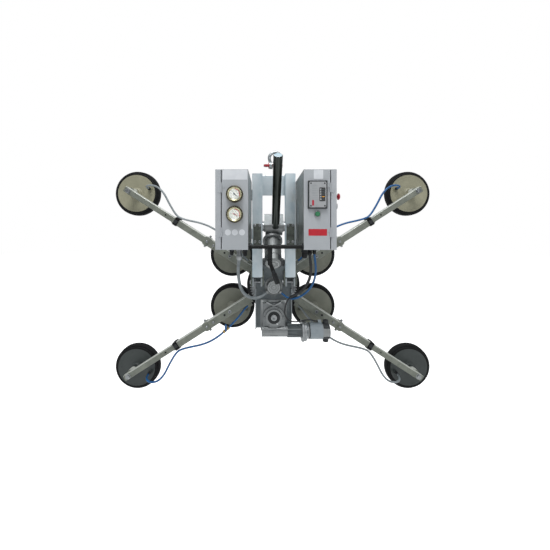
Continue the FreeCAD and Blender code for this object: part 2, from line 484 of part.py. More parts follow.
# Slewing drive: worm gearbox in front of the carrier plate, ribbed adapter and motor to the right
DROP = f"(0 - {PINION_DROP})"
BOX_FACE = f"({CARRIER_FACE} + slew_box_d)"
axle_d = f"({CARRIER_FACE} + slew_box_d / 2)"
PLATE_HALF, PLATE_TOP, PLATE_LOW, CASE_HALF, CASE_TOP, CASE_LOW = 78, 89, 96, 66, 78, 84
BOSS_R, RING_R, WORM_CASE_R, FOOT_IN, FOOT_H = 62, 47, 34, 22, 20
casing = fuse(box((-PLATE_HALF, PLATE_HALF), (CARRIER_FACE, f"{CARRIER_FACE} + 14"),
                  (f"{DROP} - {PLATE_LOW}", f"{DROP} + {PLATE_TOP}")),
              box((-CASE_HALF, CASE_HALF), (f"{CARRIER_FACE} + 6", f"{BOX_FACE} - 22"),
                  (f"{DROP} - {CASE_LOW}", f"{DROP} + {CASE_TOP}")),
              rod(BOSS_R, "slew_box_d - 10", "-y", 0, CARRIER_FACE, DROP),
              rod(RING_R, "slew_box_d", "-y", 0, CARRIER_FACE, DROP),
              rod(WORM_CASE_R, "slew_box + 8", "x", "0 - slew_box / 2", axle_d, WORM_RISE),
              *[box(span, (CARRIER_FACE, f"{BOX_FACE} - 5"),
                    (f"{WORM_RISE} - {FOOT_H}", f"{WORM_RISE} + {FOOT_H}"))
                for span in (("0 - slew_box / 2", -FOOT_IN), (FOOT_IN, "slew_box / 2"))])
RIB_HALF, RIB_D, RIB_T, RIB_LEAN, RIB_RISE = 48, 34, 7, 27, 64
COVER_BOLTS, COVER_BOLT_R, COVER_BOLT_H = 6, 4, 5
ribs = []
for turn in (-RIB_LEAN, RIB_LEAN):
    rib = box((-RIB_HALF, RIB_HALF), (0, RIB_D), (-RIB_T / 2, RIB_T / 2), home=False)
    ribs.append(spun(group(rib), Vector(0, 1, 0), turn, 0, f"{BOX_FACE} - 48", f"{DROP} + {RIB_RISE}"))
cover_circle = (BOSS_R + RING_R) / 2
cover_bolts = [rod(COVER_BOLT_R, COVER_BOLT_H, "-y", f"{cover_circle} * cos({turn})", f"{BOX_FACE} - 10",
                   f"{DROP} + {cover_circle} * sin({turn})") for turn in range(0, 360, 360 // COVER_BOLTS)]
bore = rod("spindle_r - 2 + run_fit", "slew_box_d + 2", "-y", 0, f"{CARRIER_FACE} - 1", DROP)
recess = rod("spindle_r + 9", 9, "-y", 0, f"{BOX_FACE} - 8", DROP)
node("slewing_gearbox", cut(fuse(casing, *ribs, *cover_bolts), bore, recess))
start_x = "(slew_box / 2 + 8)"
ADAPTER_L, ADAPTER_R, ADAPTER_TOP_R, FIN_HALF, FIN_T, FIN_TURNS = 84, 29, 38, 40, 6, (30, 90, 150)
fins = []
for turn in FIN_TURNS:
    fin = box((0, ADAPTER_L), (-FIN_HALF, FIN_HALF), (-FIN_T / 2, FIN_T / 2), home=False)
    fins.append(spun(group(fin), Vector(1, 0, 0), turn, start_x, axle_d, WORM_RISE))
adapter = fuse(rod(ADAPTER_R, ADAPTER_L, "x", start_x, axle_d, WORM_RISE, top_radius=ADAPTER_TOP_R), *fins)
plate_x = f"({start_x} + {ADAPTER_L})"
FLANGES, FLANGE_CORE_R, FLANGE_L = ((62, 0), (58, 14)), 50, 30
flange = fuse(rod(FLANGE_CORE_R, FLANGE_L, "x", plate_x, axle_d, WORM_RISE),
              *[rod(radius, 12, "x", f"{plate_x} + {along}", axle_d, WORM_RISE) for radius, along in FLANGES])
can, cap, brushes = motor("x", f"{plate_x} + {FLANGE_L}", "slew_motor_end", "slew_motor_r", 0, axle_d,
                          WORM_RISE, True)
INLET_X, INLET_W, INLET_H = 262, 18, 16
inlet = box((INLET_X, INLET_X + INLET_W), (f"{axle_d} - 8", f"{axle_d} + 8"),
            (f"{WORM_RISE} + slew_motor_r - 4", f"{WORM_RISE} + slew_motor_r + {INLET_H}"))
node("slewing_motor", group(adapter, flange, fuse(can, inlet), cap, brushes))


# Equipment boxes: folded sheet shells with a door on each, the right one a mirror of the left
def across_box(side, near, far):
    """An x span given from the machine's middle outwards, on either side of it."""
    return (near, far) if side > 0 else (f"0 - ({far})", f"0 - ({near})")


BOX_OUT = "(box_x + box_w)"
BOX_TOP = "(box_foot + box_h)"
SHELL_FACE = "(box_front - door_t - 0.5)"
HINGE_X = f"({BOX_OUT} - strip_w - door_gap / 2)"
HINGE_AHEAD = "(box_front + hinge_r + 0.2)"
LEAF_W, LEAF_T, PIN_R, LEAF_GAP = 17, 1.8, 2, 0.3
RIM_IN, RIM_D, RIM_T = 6, 14, 2
KNOB_Z, KNOB_D, INLET_Z, DRILL_R = "(box_foot + 257)", "(box_front - 40)", "(box_foot + 210)", 8
PANEL_X, PANEL_Z, BUTTON_Z, BUTTON_FIT = "(box_x + 64)", "(box_foot + 195)", "(box_foot + 170)", 0.3
hinges = []
for name, side in SIDES.items():
    skin = box(across_box(side, "box_x", BOX_OUT), ("box_back", SHELL_FACE), ("box_foot", BOX_TOP))
    cavity = box(across_box(side, "box_x + sheet_t", f"{BOX_OUT} - sheet_t"),
                 ("box_back + sheet_t", f"{SHELL_FACE} + 1"), ("box_foot + sheet_t", f"{BOX_TOP} - sheet_t"))
    strip = box(across_box(side, f"{BOX_OUT} - strip_w", BOX_OUT), (f"{SHELL_FACE} - 2", "box_front"),
                ("box_foot", BOX_TOP))
    feet = [box(across_box(side, RAIL_OUT, "box_x"), ("box_back + 2", RAIL_FACE),
                (f"box_foot + {rise}", f"box_foot + {rise} + box_foot_h"))
            for rise in ("foot_low", "foot_high")]
    shell = fuse(cut(skin, cavity), strip, *feet)
    if name == "right":
        drill = [rod(DRILL_R, 20, "x", f"{BOX_OUT} - 10", KNOB_D, rise) for rise in (KNOB_Z, INLET_Z)]
        shell = cut(shell, *drill)
    node(f"box_shell_{name}", shell)

    rim_x = across_box(side, f"box_x + sheet_t + {RIM_IN}", f"{HINGE_X} - 10")
    rim_z = (f"box_foot + sheet_t + {RIM_IN}", f"{BOX_TOP} - sheet_t - {RIM_IN}")
    rim_d = (f"box_front - door_t - {RIM_D}", "box_front - door_t")
    rim = cut(box(rim_x, rim_d, rim_z),
              box((f"{rim_x[0]} + {RIM_T}", f"{rim_x[1]} - {RIM_T}"), (f"{rim_d[0]} - 1", f"{rim_d[1]}"),
                  (f"{rim_z[0]} + {RIM_T}", f"{rim_z[1]} - {RIM_T}")))
    panel = box(across_box(side, "box_x", f"{HINGE_X} - door_gap / 2"), ("box_front - door_t", "box_front"),
                ("box_foot", BOX_TOP))
    pivot = f"{side} * {HINGE_X}"
    door_parts, pin_bores = [panel, rim], []
    for low in ("hinge_low", "hinge_high"):
        foot, middle = f"box_foot + {low}", f"box_foot + {low} + hinge_len / 2"
        leaf_d = ("box_front", f"box_front + {LEAF_T}")
        still = fuse(rod("hinge_r", "hinge_len / 2", "z", pivot, HINGE_AHEAD, foot),
                     box(across_box(side, HINGE_X, f"{HINGE_X} + {LEAF_W}"), leaf_d, (foot, middle)),
                     rod(PIN_R, "hinge_len", "z", pivot, HINGE_AHEAD, foot))
        hinges.append(still)
        leaf_foot = f"{middle} + {LEAF_GAP}"
        door_parts += [rod("hinge_r", f"hinge_len / 2 - {LEAF_GAP}", "z", pivot, HINGE_AHEAD, leaf_foot),
                       box(across_box(side, f"{HINGE_X} - {LEAF_W}", HINGE_X), leaf_d,
                           (leaf_foot, f"{foot} + hinge_len"))]
        pin_bores.append(rod(f"{PIN_R} + run_fit", "hinge_len + 2", "z", pivot, HINGE_AHEAD, f"{foot} - 1"))
    if name == "right":
        pin_bores.append(rod(f"button_r + {BUTTON_FIT}", 30, "y", PANEL_X, "box_front + 10", BUTTON_Z))
    node(f"door_{name}", cut(fuse(*door_parts), *pin_bores))
node("door_hinges", group(*hinges))

GAUGE = [(0, 0), ("gauge_r", 0), ("gauge_r", "gauge_h - 4"), ("gauge_r - 3", "gauge_h"),
         ("gauge_r - 6", "gauge_h"), ("gauge_r - 7", "gauge_h - 6"), (0, "gauge_h - 6")]
GAUGE_X, GAUGE_RISES = "0 - box_x - 63", (168, 263)
gauges = [set_base(lathe(GAUGE), GAUGE_X, "box_front", f"box_foot + {rise}") for rise in GAUGE_RISES]
node("vacuum_gauges", group(*gauges))
PANEL_T, SCREEN_T = 12, 3
frame_plate = box((f"{PANEL_X} - panel_w / 2", f"{PANEL_X} + panel_w / 2"),
                  ("box_front", f"box_front + {PANEL_T}"), (PANEL_Z, f"{PANEL_Z} + panel_h"))
screen = box((f"{PANEL_X} + 8", f"{PANEL_X} + 34"),
             (f"box_front + {PANEL_T} - {SCREEN_T}", f"box_front + {PANEL_T} + 1"),
             (f"{PANEL_Z} + 36", f"{PANEL_Z} + 98"))
bezel = cut(rod("button_r + 5", 6, "-y", PANEL_X, "box_front", BUTTON_Z),
            rod(f"button_r + {BUTTON_FIT}", 8, "-y", PANEL_X, "box_front - 1", BUTTON_Z))
node("control_panel", group(cut(frame_plate, screen), bezel))
node("start_button", fuse(rod("button_r", 22, "-y", PANEL_X, "box_front - 12", BUTTON_Z),
                          rod("button_r + 4", 3, "y", PANEL_X, "box_front - 9", BUTTON_Z)))
KNOB = [(0, -14), (7, -14), (7, 14), ("knob_r", 16), ("knob_r", 21), ("knob_r - 5", 25), (0, 26)]
node("stop_knob", group(set_base(lathe(KNOB, "x"), BOX_OUT, KNOB_D, KNOB_Z)))
COLLAR_R, COLLAR_BORE, COLLAR_H = 12, 7.3, 8
collar = cut(rod(COLLAR_R, COLLAR_H, "x", BOX_OUT, KNOB_D, KNOB_Z),
             rod(COLLAR_BORE, COLLAR_H + 2, "x", f"{BOX_OUT} - 1", KNOB_D, KNOB_Z))
RING_OUT_R, RING_IN_R, RING_H, RING_FLOOR = 14, 9, 12, 4
socket_ring = cut(rod(RING_OUT_R, RING_H, "x", BOX_OUT, KNOB_D, INLET_Z),
                  rod(RING_IN_R, RING_H, "x", f"{BOX_OUT} + {RING_FLOOR}", KNOB_D, INLET_Z))
GLANDS = {"vacuum": (-195, 300), "conduit": (198, 296), "blue": (222, 308)}
glands = [rod("gland_r", "gland_h", "z", x, d, "box_foot - gland_h") for x, d in GLANDS.values()]
node("box_fittings", group(collar, socket_ring, *glands))

# Contents of the boxes, each standing on the floor or fixed to the back
FLOOR = "(box_foot + sheet_t)"
BACK = "(box_back + sheet_t)"
PUMP_X, PUMP_HALF, PUMP_H, PUMP_R, PUMP_AXIS, PUMP_D = "(0 - box_x - 78)", 40, 86, 36, 100, (40, 200)
pump_foot = box((f"{PUMP_X} - {PUMP_HALF}", f"{PUMP_X} + {PUMP_HALF}"),
                [f"{BACK} + {ahead}" for ahead in PUMP_D], (FLOOR, f"{FLOOR} + {PUMP_H}"))
node("vacuum_pump", fuse(pump_foot, rod(PUMP_R, 150, "-y", PUMP_X, f"{BACK} + 50", f"{FLOOR} + {PUMP_AXIS}")))
TANK_R, TANK_H, TANK_RISE, TANK_D, STAY_HALF, STAY_Z = 46, 190, 150, 60, 20, (170, 320)
stay = box((f"{PUMP_X} - {STAY_HALF}", f"{PUMP_X} + {STAY_HALF}"), (BACK, f"{BACK} + 40"),
           [f"{FLOOR} + {rise}" for rise in STAY_Z])
tank = rod(TANK_R, TANK_H, "z", PUMP_X, f"{BACK} + {TANK_D}", f"{FLOOR} + {TANK_RISE}")
node("vacuum_tank", fuse(tank, stay))
BATTERY_X, BATTERY_D, BATTERY_H, TERMINAL_X, TERMINAL_R = (20, 130), (30, 210), 150, (45, 105), 8
battery_case = box([f"box_x + {x}" for x in BATTERY_X], [f"{BACK} + {ahead}" for ahead in BATTERY_D],
                   (FLOOR, f"{FLOOR} + {BATTERY_H}"))
terminals = [rod(TERMINAL_R, 14, "z", f"box_x + {x}", f"{BACK} + 60", f"{FLOOR} + {BATTERY_H}")
             for x in TERMINAL_X]
node("battery", fuse(battery_case, *terminals))
UNIT_X, UNIT_T, UNIT_Z = (24, 132), 52, (190, 340)
UNIT_FIN_T, UNIT_FIN_D, UNIT_FINS = 4, 14, range(34, 126, 14)
unit_case = box([f"box_x + {x}" for x in UNIT_X], (BACK, f"{BACK} + {UNIT_T}"),
                [f"{FLOOR} + {rise}" for rise in UNIT_Z])
unit_fins = [box((f"box_x + {x}", f"box_x + {x + UNIT_FIN_T}"),
                 (f"{BACK} + {UNIT_T}", f"{BACK} + {UNIT_T + UNIT_FIN_D}"),
                 (f"{FLOOR} + {UNIT_Z[0] + 10}", f"{FLOOR} + {UNIT_Z[1] - 10}")) for x in UNIT_FINS]
node("control_unit", fuse(unit_case, *unit_fins))

# Handle between the boxes, with a stem for the swinging lever
bar = rod("handle_r", "2 * box_x", "x", "0 - box_x", "handle_ahead", HANDLE_RISE)
ends = [rod("handle_r + 6", 7, axis, f"{sign} * box_x", "handle_ahead", HANDLE_RISE)
        for axis, sign in (("x", -1), ("-x", 1))]
stem = box(("stem_x - 11", "stem_x + 11"), ("handle_ahead - 6", "handle_ahead + 6"),
           (f"{LEVER_RISE} - 14", HANDLE_RISE))
node("handle_bar", fuse(bar, stem, *ends))
BOLT_SHANK, LEVER_T, LEVER_TURN = 6, 8, 70
frame_bolts.append(fuse(rod(BOLT_SHANK, LEVER_T + 1, "-y", "stem_x", "handle_ahead + 6", LEVER_RISE),
                        rod(BOLT_SHANK + 4, 6, "-y", "stem_x", f"handle_ahead + 7 + {LEVER_T}", LEVER_RISE)))


def swung(obj):
    return spun(obj, Vector(0, 1, 0), LEVER_TURN, "stem_x", "handle_ahead", LEVER_RISE)


BAR_GAP, BAR_L, GRIP_R, GRIP_L, CORE_R = 6.4, 52, 12, 52, 7
BAR_TAIL, BAR_HALF = 22, 9
strap_bar = fuse(box((-BAR_TAIL, BAR_L), (BAR_GAP, BAR_GAP + LEVER_T), (-BAR_HALF, BAR_HALF), home=False),
                 rod(CORE_R, BAR_L + 8, "x", BAR_L - 12, BAR_GAP + LEVER_T / 2, 0, home=False))
strap_bar = swung(cut(strap_bar, rod(f"{BOLT_SHANK} + run_fit", 30, "-y", 0, 0, 0, home=False)))
grip = cut(rod(GRIP_R, GRIP_L, "x", BAR_L + 2, BAR_GAP + LEVER_T / 2, 0, home=False),
           rod(CORE_R, GRIP_L - 6, "x", BAR_L + 2, BAR_GAP + LEVER_T / 2, 0, home=False))
node("swing_lever", group(strap_bar, swung(grip)))
node("frame_bolts", group(*frame_bolts))


# Hoses: straight runs joined by the largest tangent arcs that the runs allow
def hose(points, radius):
    runs = [b - a for a, b in zip(points, points[1:])]
    edges, last, radii = [], points[0], []
    for point, run, following in zip(points[1:-1], runs, runs[1:]):
        reach = 0.45 * min(run.Length, following.Length)
        turn = run.getAngle(following)
        start = point - run * (reach / run.Length)
        end = point + following * (reach / following.Length)
        bend = reach / math.tan(turn / 2)
        inward = (start + end) * 0.5 - point
        middle = point + inward * ((bend / math.cos(turn / 2) - bend) / inward.Length)
        edges += [Part.LineSegment(last, start).toShape(), Part.Arc(start, middle, end).toShape()]
        radii.append(round(bend))
        last = end
    edges.append(Part.LineSegment(last, points[-1]).toShape())
    path = Part.Wire(edges)
    section = Part.Wire(Part.Circle(points[0], points[1] - points[0], radius).toShape())
    tube = path.makePipeShell([section], True, True)
    feature = doc.addObject("Part::Feature", "hose")
    feature.Shape = tube
    ratio = tube.Volume / (math.pi * radius ** 2 * path.Length)
    print("hose of", round(path.Length), "mm, bend radii", radii, "volume ratio", round(ratio, 3))
    return feature


# Arm hoses as (along the arm, out from the arm, ahead of the pad plates), from the pad's port to the hub
ARM_ROUTE = [(1027, 74, 20.8), (1027, 74.5, 62), (1012, 92, 96), (980, 114, 112), (932, 124, 120),
             (878, 108, 121), (818, 70, 118), (742, 32, 114), (700, 38, 113), (650, 55, 114), (595, 76, 116),
             (535, 90, 118), (470, 92, 118), (405, 84, 114), (340, 72, 106), (282, 56, 98),
             (240, 38, 94.5), (211.4, 34.8, 94)]


def arm_route(route, name):
    turn = math.radians(number(ARMS[name]))
    along, out = Vector(math.cos(turn), 0, math.sin(turn)), Vector(-math.sin(turn), 0, math.cos(turn))
    return [along * a + out * (b * OUTWARD[name]) + Vector(0, -d, 0) for a, b, d in route]


arm_hoses = [set_base(hose(arm_route(ARM_ROUTE, name), number("hose_r")), 0, 0, 0) for name in ARMS]
node("arm_hoses", group(*arm_hoses))
VACUUM_ROUTE = [(-195, 300, 232.7), (-195, 300, 198), (-203, 292, 128), (-202, 275, 61), (-192, 256, 6),
                (-171.5, 239, -33), (-144, 223, -56.5), (-109, 209, -65), (-73.8, 200.5, -57.7),
                (-45.4, 199, -35.5)]
CONDUIT_ROUTE = [(198, 296, 232.7), (198, 296, 200), (205, 292, 150), (208, 282, 98), (197, 265, 42),
                 (166, 248, -8), (128, 234, -38), (96, 228, -54)]
CABLE_ROUTE = [(96, 228, -54), (82, 231, -66), (70, 241, -88), (62, 250, -116), (62, 255, -148),
               (78, 255, -176), (108, 252, -190), (146, 247, -190), (184, 238, -184), (216, 226, -186),
               (241, 212.5, -198), (261.5, 205.5, -203)]
BLUE_ROUTE = [(222, 308, 232.7), (222, 308, 200), (230, 304, 150), (233, 296, 98), (222, 278, 36),
              (188, 258, -20), (142, 240, -54), (106, 224, -66), (76, 208, -58), (58, 200.5, -45.3),
              (45.4, 199, -35.5)]


def machine_route(route):
    return [Vector(x, -d, z) for x, d, z in route]


node("vacuum_hose", group(set_base(hose(machine_route(VACUUM_ROUTE), number("vacuum_hose_r")), 0, 0, 0)))
conduit = hose(machine_route(CONDUIT_ROUTE), number("vacuum_hose_r - 1"))
cable = hose(machine_route(CABLE_ROUTE), number("cable_r"))
blue_hose = hose(machine_route(BLUE_ROUTE), number("hose_r"))
node("conduit_and_cable", group(*[set_base(line, 0, 0, 0) for line in (conduit, cable, blue_hose)]))

# Check every object and write one file for each node
doc.recompute()
failed = [obj.Label for obj in doc.Objects if {"Invalid", "Error"} & set(obj.State)]
failed += [label for label, obj in nodes.items() if obj.Shape.isNull() or not obj.Shape.isValid()]
if failed:
    raise RuntimeError(f"these pieces failed: {failed}")
os.makedirs("parts", exist_ok=True)
for label, obj in nodes.items():
    obj.Shape.exportStep(f"parts/{label}.step")
print(len(nodes), "nodes,", sum(len(obj.Shape.Solids) for obj in nodes.values()), "solids")
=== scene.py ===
"""Glass panel lifter: suction pads on a turning cross, hung from a tilting arm between two boxes."""
import math

import bmesh
import bpy
from mathutils import Matrix, Vector


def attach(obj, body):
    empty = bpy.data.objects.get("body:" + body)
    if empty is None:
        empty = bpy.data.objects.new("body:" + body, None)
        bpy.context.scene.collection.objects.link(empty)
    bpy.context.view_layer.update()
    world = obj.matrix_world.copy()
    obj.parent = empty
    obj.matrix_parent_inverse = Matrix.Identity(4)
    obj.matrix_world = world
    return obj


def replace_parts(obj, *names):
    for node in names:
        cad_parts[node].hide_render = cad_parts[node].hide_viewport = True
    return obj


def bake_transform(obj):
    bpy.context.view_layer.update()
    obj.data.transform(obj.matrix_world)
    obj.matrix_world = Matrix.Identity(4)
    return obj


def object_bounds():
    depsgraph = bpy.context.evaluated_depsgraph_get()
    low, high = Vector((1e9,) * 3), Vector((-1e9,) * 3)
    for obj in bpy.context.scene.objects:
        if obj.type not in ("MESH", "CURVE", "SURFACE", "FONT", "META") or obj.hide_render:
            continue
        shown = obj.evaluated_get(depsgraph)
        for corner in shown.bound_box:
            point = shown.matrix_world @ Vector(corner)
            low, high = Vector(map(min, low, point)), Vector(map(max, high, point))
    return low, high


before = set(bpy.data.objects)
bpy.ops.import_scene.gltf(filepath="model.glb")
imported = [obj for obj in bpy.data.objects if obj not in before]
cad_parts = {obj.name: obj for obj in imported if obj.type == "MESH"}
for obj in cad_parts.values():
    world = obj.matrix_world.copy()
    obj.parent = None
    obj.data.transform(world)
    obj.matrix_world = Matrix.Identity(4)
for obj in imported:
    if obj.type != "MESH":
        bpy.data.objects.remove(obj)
cad_box = [list(corner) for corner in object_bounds()]
scene = bpy.context.scene
scene.view_settings.view_transform = "Standard"

# The picture: a level wide view from a little under two metres in front of the pads, the optical axis left
# of and above the picture's middle, as the photograph was taken.
PICTURE = 550
OPTICAL_AXIS = (265, 229)
FOCAL_PIXELS = 259.6
VIEWPOINT = (-0.052, -1.3425, -0.3875)
view = bpy.data.cameras.new("front_view")
view.sensor_width = 36
view.lens = view.sensor_width * FOCAL_PIXELS / PICTURE
view.shift_x = 0.5 - OPTICAL_AXIS[0] / PICTURE
view.shift_y = OPTICAL_AXIS[1] / PICTURE - 0.5
camera = bpy.data.objects.new("front_view", view)
camera.location = VIEWPOINT
camera.rotation_euler = (math.radians(90), 0, 0)
scene.collection.objects.link(camera)
scene.camera = camera


def linear(code):
    """An sRGB hex colour as the linear colour that sockets take."""
    parts = [int(code[at:at + 2], 16) / 255 for at in (1, 3, 5)]
    return (*[c / 12.92 if c <= 0.04045 else ((c + 0.055) / 1.055) ** 2.4 for c in parts], 1)


def add(tree, kind, sockets=(), **settings):
    """Adds one node: its properties, and each input socket as a value or as the output that feeds it."""
    made = tree.nodes.new(kind)
    for name, value in settings.items():
        setattr(made, name, value)
    for name, value in dict(sockets).items():
        if isinstance(value, bpy.types.NodeSocket):
            tree.links.new(value, made.inputs[name])
        else:
            made.inputs[name].default_value = value
    return made


def seen_by_eye(tree):
    """1 for what the camera sees, straight or through glass, and 0 for what only lights the machine."""
    ray = add(tree, "ShaderNodeLightPath").outputs
    return add(tree, "ShaderNodeMath", {0: ray["Is Camera Ray"], 1: ray["Is Transmission Ray"]},
               operation="MAXIMUM").outputs[0]


# Studio: a room that is white to the eye and lights the machine from above, a soft lamp over it and a weaker
# one in front on the right, and a pale floor well below the hanging machine that keeps its soft shadow.
ROOM_UP, ROOM_DIM, ROOM_BRIGHT = (0, 0.35, 0.94), 0.09, 0.76
world = bpy.data.worlds.new("studio")
world.use_nodes = True
scene.world = world
air = world.node_tree
air.nodes.clear()
way = add(air, "ShaderNodeTexCoord").outputs["Generated"]
height = add(air, "ShaderNodeVectorMath", {0: way, 1: ROOM_UP}, operation="DOT_PRODUCT").outputs["Value"]
light = add(air, "ShaderNodeMapRange", {"Value": height, "From Min": -0.5, "From Max": 0.7,
                                        "To Min": ROOM_DIM, "To Max": ROOM_BRIGHT})
room = add(air, "ShaderNodeBackground", {"Color": linear("#f4f7fa"), "Strength": light.outputs[0]})
white = add(air, "ShaderNodeBackground", {"Color": linear("#ffffff"), "Strength": 1.0})
room = add(air, "ShaderNodeMixShader", {0: seen_by_eye(air), 1: room.outputs[0], 2: white.outputs[0]})
add(air, "ShaderNodeOutputWorld", {"Surface": room.outputs[0]})

LAMP_AIM = (0, 0, -0.6)
for name, stand, width, power in (("key_lamp", (-0.25, -1.2, 2.3), 1.5, 62),
                                  ("fill_lamp", (0.9, -2.9, 0.3), 2.2, 9)):
    lamp = bpy.data.lights.new(name, "AREA")
    lamp.size = width
    lamp.energy = power
    holder = bpy.data.objects.new(name, lamp)
    holder.location = stand
    holder.rotation_euler = (Vector(LAMP_AIM) - Vector(stand)).to_track_quat("-Z", "Y").to_euler()
    scene.collection.objects.link(holder)

FLOOR_BELOW, FLOOR_REACH, FLOOR_LIFT = 0.32, 14, 0.8
low = cad_box[0][2] - FLOOR_BELOW
floor_mesh = bpy.data.meshes.new("studio_floor")
corners = [(x * FLOOR_REACH, y * FLOOR_REACH, low) for x, y in ((-1, -1), (1, -1), (1, 1), (-1, 1))]
floor_mesh.from_pydata(corners, [], [(0, 1, 2, 3)])
floor = bpy.data.objects.new("studio_floor", floor_mesh)
scene.collection.objects.link(floor)
matt = bpy.data.materials.new("white_matt_floor")
matt.use_nodes = True
tree = matt.node_tree
tree.nodes.clear()
lift = add(tree, "ShaderNodeMath", {0: seen_by_eye(tree), 1: FLOOR_LIFT}, operation="MULTIPLY")
glow = add(tree, "ShaderNodeEmission", {"Color": linear("#ffffff"), "Strength": lift.outputs[0]})
paint = add(tree, "ShaderNodeBsdfDiffuse", {"Color": linear("#f3f3f2")})
both = add(tree, "ShaderNodeAddShader", {0: glow.outputs[0], 1: paint.outputs[0]})
add(tree, "ShaderNodeOutputMaterial", {"Surface": both.outputs[0]})
floor_mesh.materials.append(matt)

# Rails: two square tubes with the cross beam behind them and the clevis brackets in front, all of mild steel
# that is welded, zinc plated and blue passivated.
MM = 0.001
BLUE_ZINC, PALE_ZINC, TAN_ZINC = "#b3c8d1", "#dbe5ea", "#c4c2b6"
SOFT, FINE = (0.3, 0.7), (0.2, 0.8)


def patches(tree, size, low, high, detail=3, stretch=(1, 1, 1)):
    """Soft patches of a size in millimetres, spread from 0 to 1 between two levels of the noise."""
    where = add(tree, "ShaderNodeTexCoord").outputs["Object"]
    where = add(tree, "ShaderNodeMapping", {"Vector": where, "Scale": stretch}).outputs[0]
    noise = add(tree, "ShaderNodeTexNoise", {"Vector": where, "Scale": 1 / MM / size, "Detail": detail})
    level = {"Value": noise.outputs["Fac"], "From Min": low, "From Max": high}
    return add(tree, "ShaderNodeMapRange", level).outputs[0]


def worn_edges(tree, low=0.52, high=0.6):
    """The share of bare material along outer edges, from the mesh's own convexity."""
    shape = add(tree, "ShaderNodeNewGeometry").outputs["Pointiness"]
    return add(tree, "ShaderNodeMapRange", {"Value": shape, "From Min": low, "From Max": high}).outputs[0]


def surface(name, base, layers, gloss=None, grain=None, **values):
    """A material as uneven as the real one: layers of (pattern, colour) over a base colour, a gloss of
    (pattern, smooth, rough) and a grain of (pattern, depth in mm). A pattern is the size of its patches in
    mm, the values that patches takes, or a function of the node tree. The values are the shader's own."""
    # Real grains under a millimetre are drawn 1 to 3 mm wide, as coarse as they need to be to show.
    material = bpy.data.materials.new(name)
    material.use_nodes = True
    tree = material.node_tree
    shader = tree.nodes["Principled BSDF"]
    for socket, value in values.items():
        shader.inputs[socket.replace("_", " ")].default_value = value

    def share(pattern, levels):
        """How far a pattern covers each point, from 0 to 1."""
        if callable(pattern):
            return pattern(tree)
        return patches(tree, *pattern) if isinstance(pattern, tuple) else patches(tree, pattern, *levels)

    colour = linear(base)
    for pattern, code in layers:
        colour = add(tree, "ShaderNodeMix", {0: share(pattern, SOFT), 6: colour, 7: linear(code)},
                     data_type="RGBA").outputs[2]
    tree.links.new(colour, shader.inputs["Base Color"])
    if gloss:
        pattern, smooth, rough = gloss
        level = {"Value": share(pattern, SOFT), "To Min": smooth, "To Max": rough}
        tree.links.new(add(tree, "ShaderNodeMapRange", level).outputs[0], shader.inputs["Roughness"])
    if grain:
        pattern, depth = grain
        bump = {"Height": share(pattern, FINE), "Distance": depth * MM}
        tree.links.new(add(tree, "ShaderNodeBump", bump).outputs[0], shader.inputs["Normal"])
    return material


# Blue passivated zinc: a soft metal shine, cloudy from the bath, with tan drying marks and pale edges.
zinc = surface("zinc_plating_blue_passivated", BLUE_ZINC,
               [((60, 0.35, 0.7), PALE_ZINC), ((140, 0.58, 0.85), TAN_ZINC), (worn_edges, PALE_ZINC)],
               gloss=(9, 0.34, 0.52), grain=(2.5, 0.12), Metallic=1.0)
MOST_CORNERS, FLAT_WITHIN, SAME_POINT = 40, math.radians(0.6), 1e-6
SHARP_FROM, LONG_CORNER, SQUARE_FROM = math.radians(38), 0.15, math.radians(80)


def form_of(node, split):
    """A CAD node's mesh with its triangles joined into flat faces. Those with very many corners and, if
    split, hollow ones are cut into triangles again."""
    form = bmesh.new()
    form.from_mesh(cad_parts[node].data)
    bmesh.ops.remove_doubles(form, verts=form.verts, dist=SAME_POINT)
    bmesh.ops.dissolve_limit(form, angle_limit=FLAT_WITHIN, verts=form.verts, edges=form.edges)
    form.normal_update()
    bmesh.ops.triangulate(form, faces=[face for face in form.faces if len(face.verts) > MOST_CORNERS
                                       or split and not all(loop.is_convex for loop in face.loops)])
    return form


def islands(form):
    """The separate solids of a mesh, each as (faces, lowest corner, highest corner)."""
    form.faces.ensure_lookup_table()
    left, found = set(form.faces), []
    while left:
        front = [left.pop()]
        solid = list(front)
        while front:
            near = {other for edge in front.pop().edges for other in edge.link_faces} & left
            left -= near
            front += near
            solid += near
        points = [vert.co for face in solid for vert in face.verts]
        low = Vector([min(point[axis] for point in points) for axis in range(3)])
        high = Vector([max(point[axis] for point in points) for axis in range(3)])
        found.append((solid, low, high))
    return found


def finished(name, form, body, finishes, edge=0.4):
    """Makes a form into a piece: its finishes, smooth shading, edges broken by so many mm, and body."""
    bmesh.ops.recalc_face_normals(form, faces=form.faces)
    mesh = bpy.data.meshes.new(name)
    form.to_mesh(mesh)
    form.free()
    for finish in finishes if isinstance(finishes, list) else [finishes]:
        mesh.materials.append(finish)
    piece = bpy.data.objects.new(name, mesh)
    scene.collection.objects.link(piece)
    for face in mesh.polygons:
        face.use_smooth = True
    mesh.set_sharp_from_angle(angle=SHARP_FROM)
    if edge:
        rounding = piece.modifiers.new("broken_edges", "BEVEL")
        rounding.width = edge * MM
        rounding.segments = 2
        rounding.limit_method = "ANGLE"
        rounding.angle_limit = SHARP_FROM
        flats = piece.modifiers.new("even_flats", "WEIGHTED_NORMAL")
        flats.keep_sharp = True
    if body:
        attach(piece, body)
    return piece


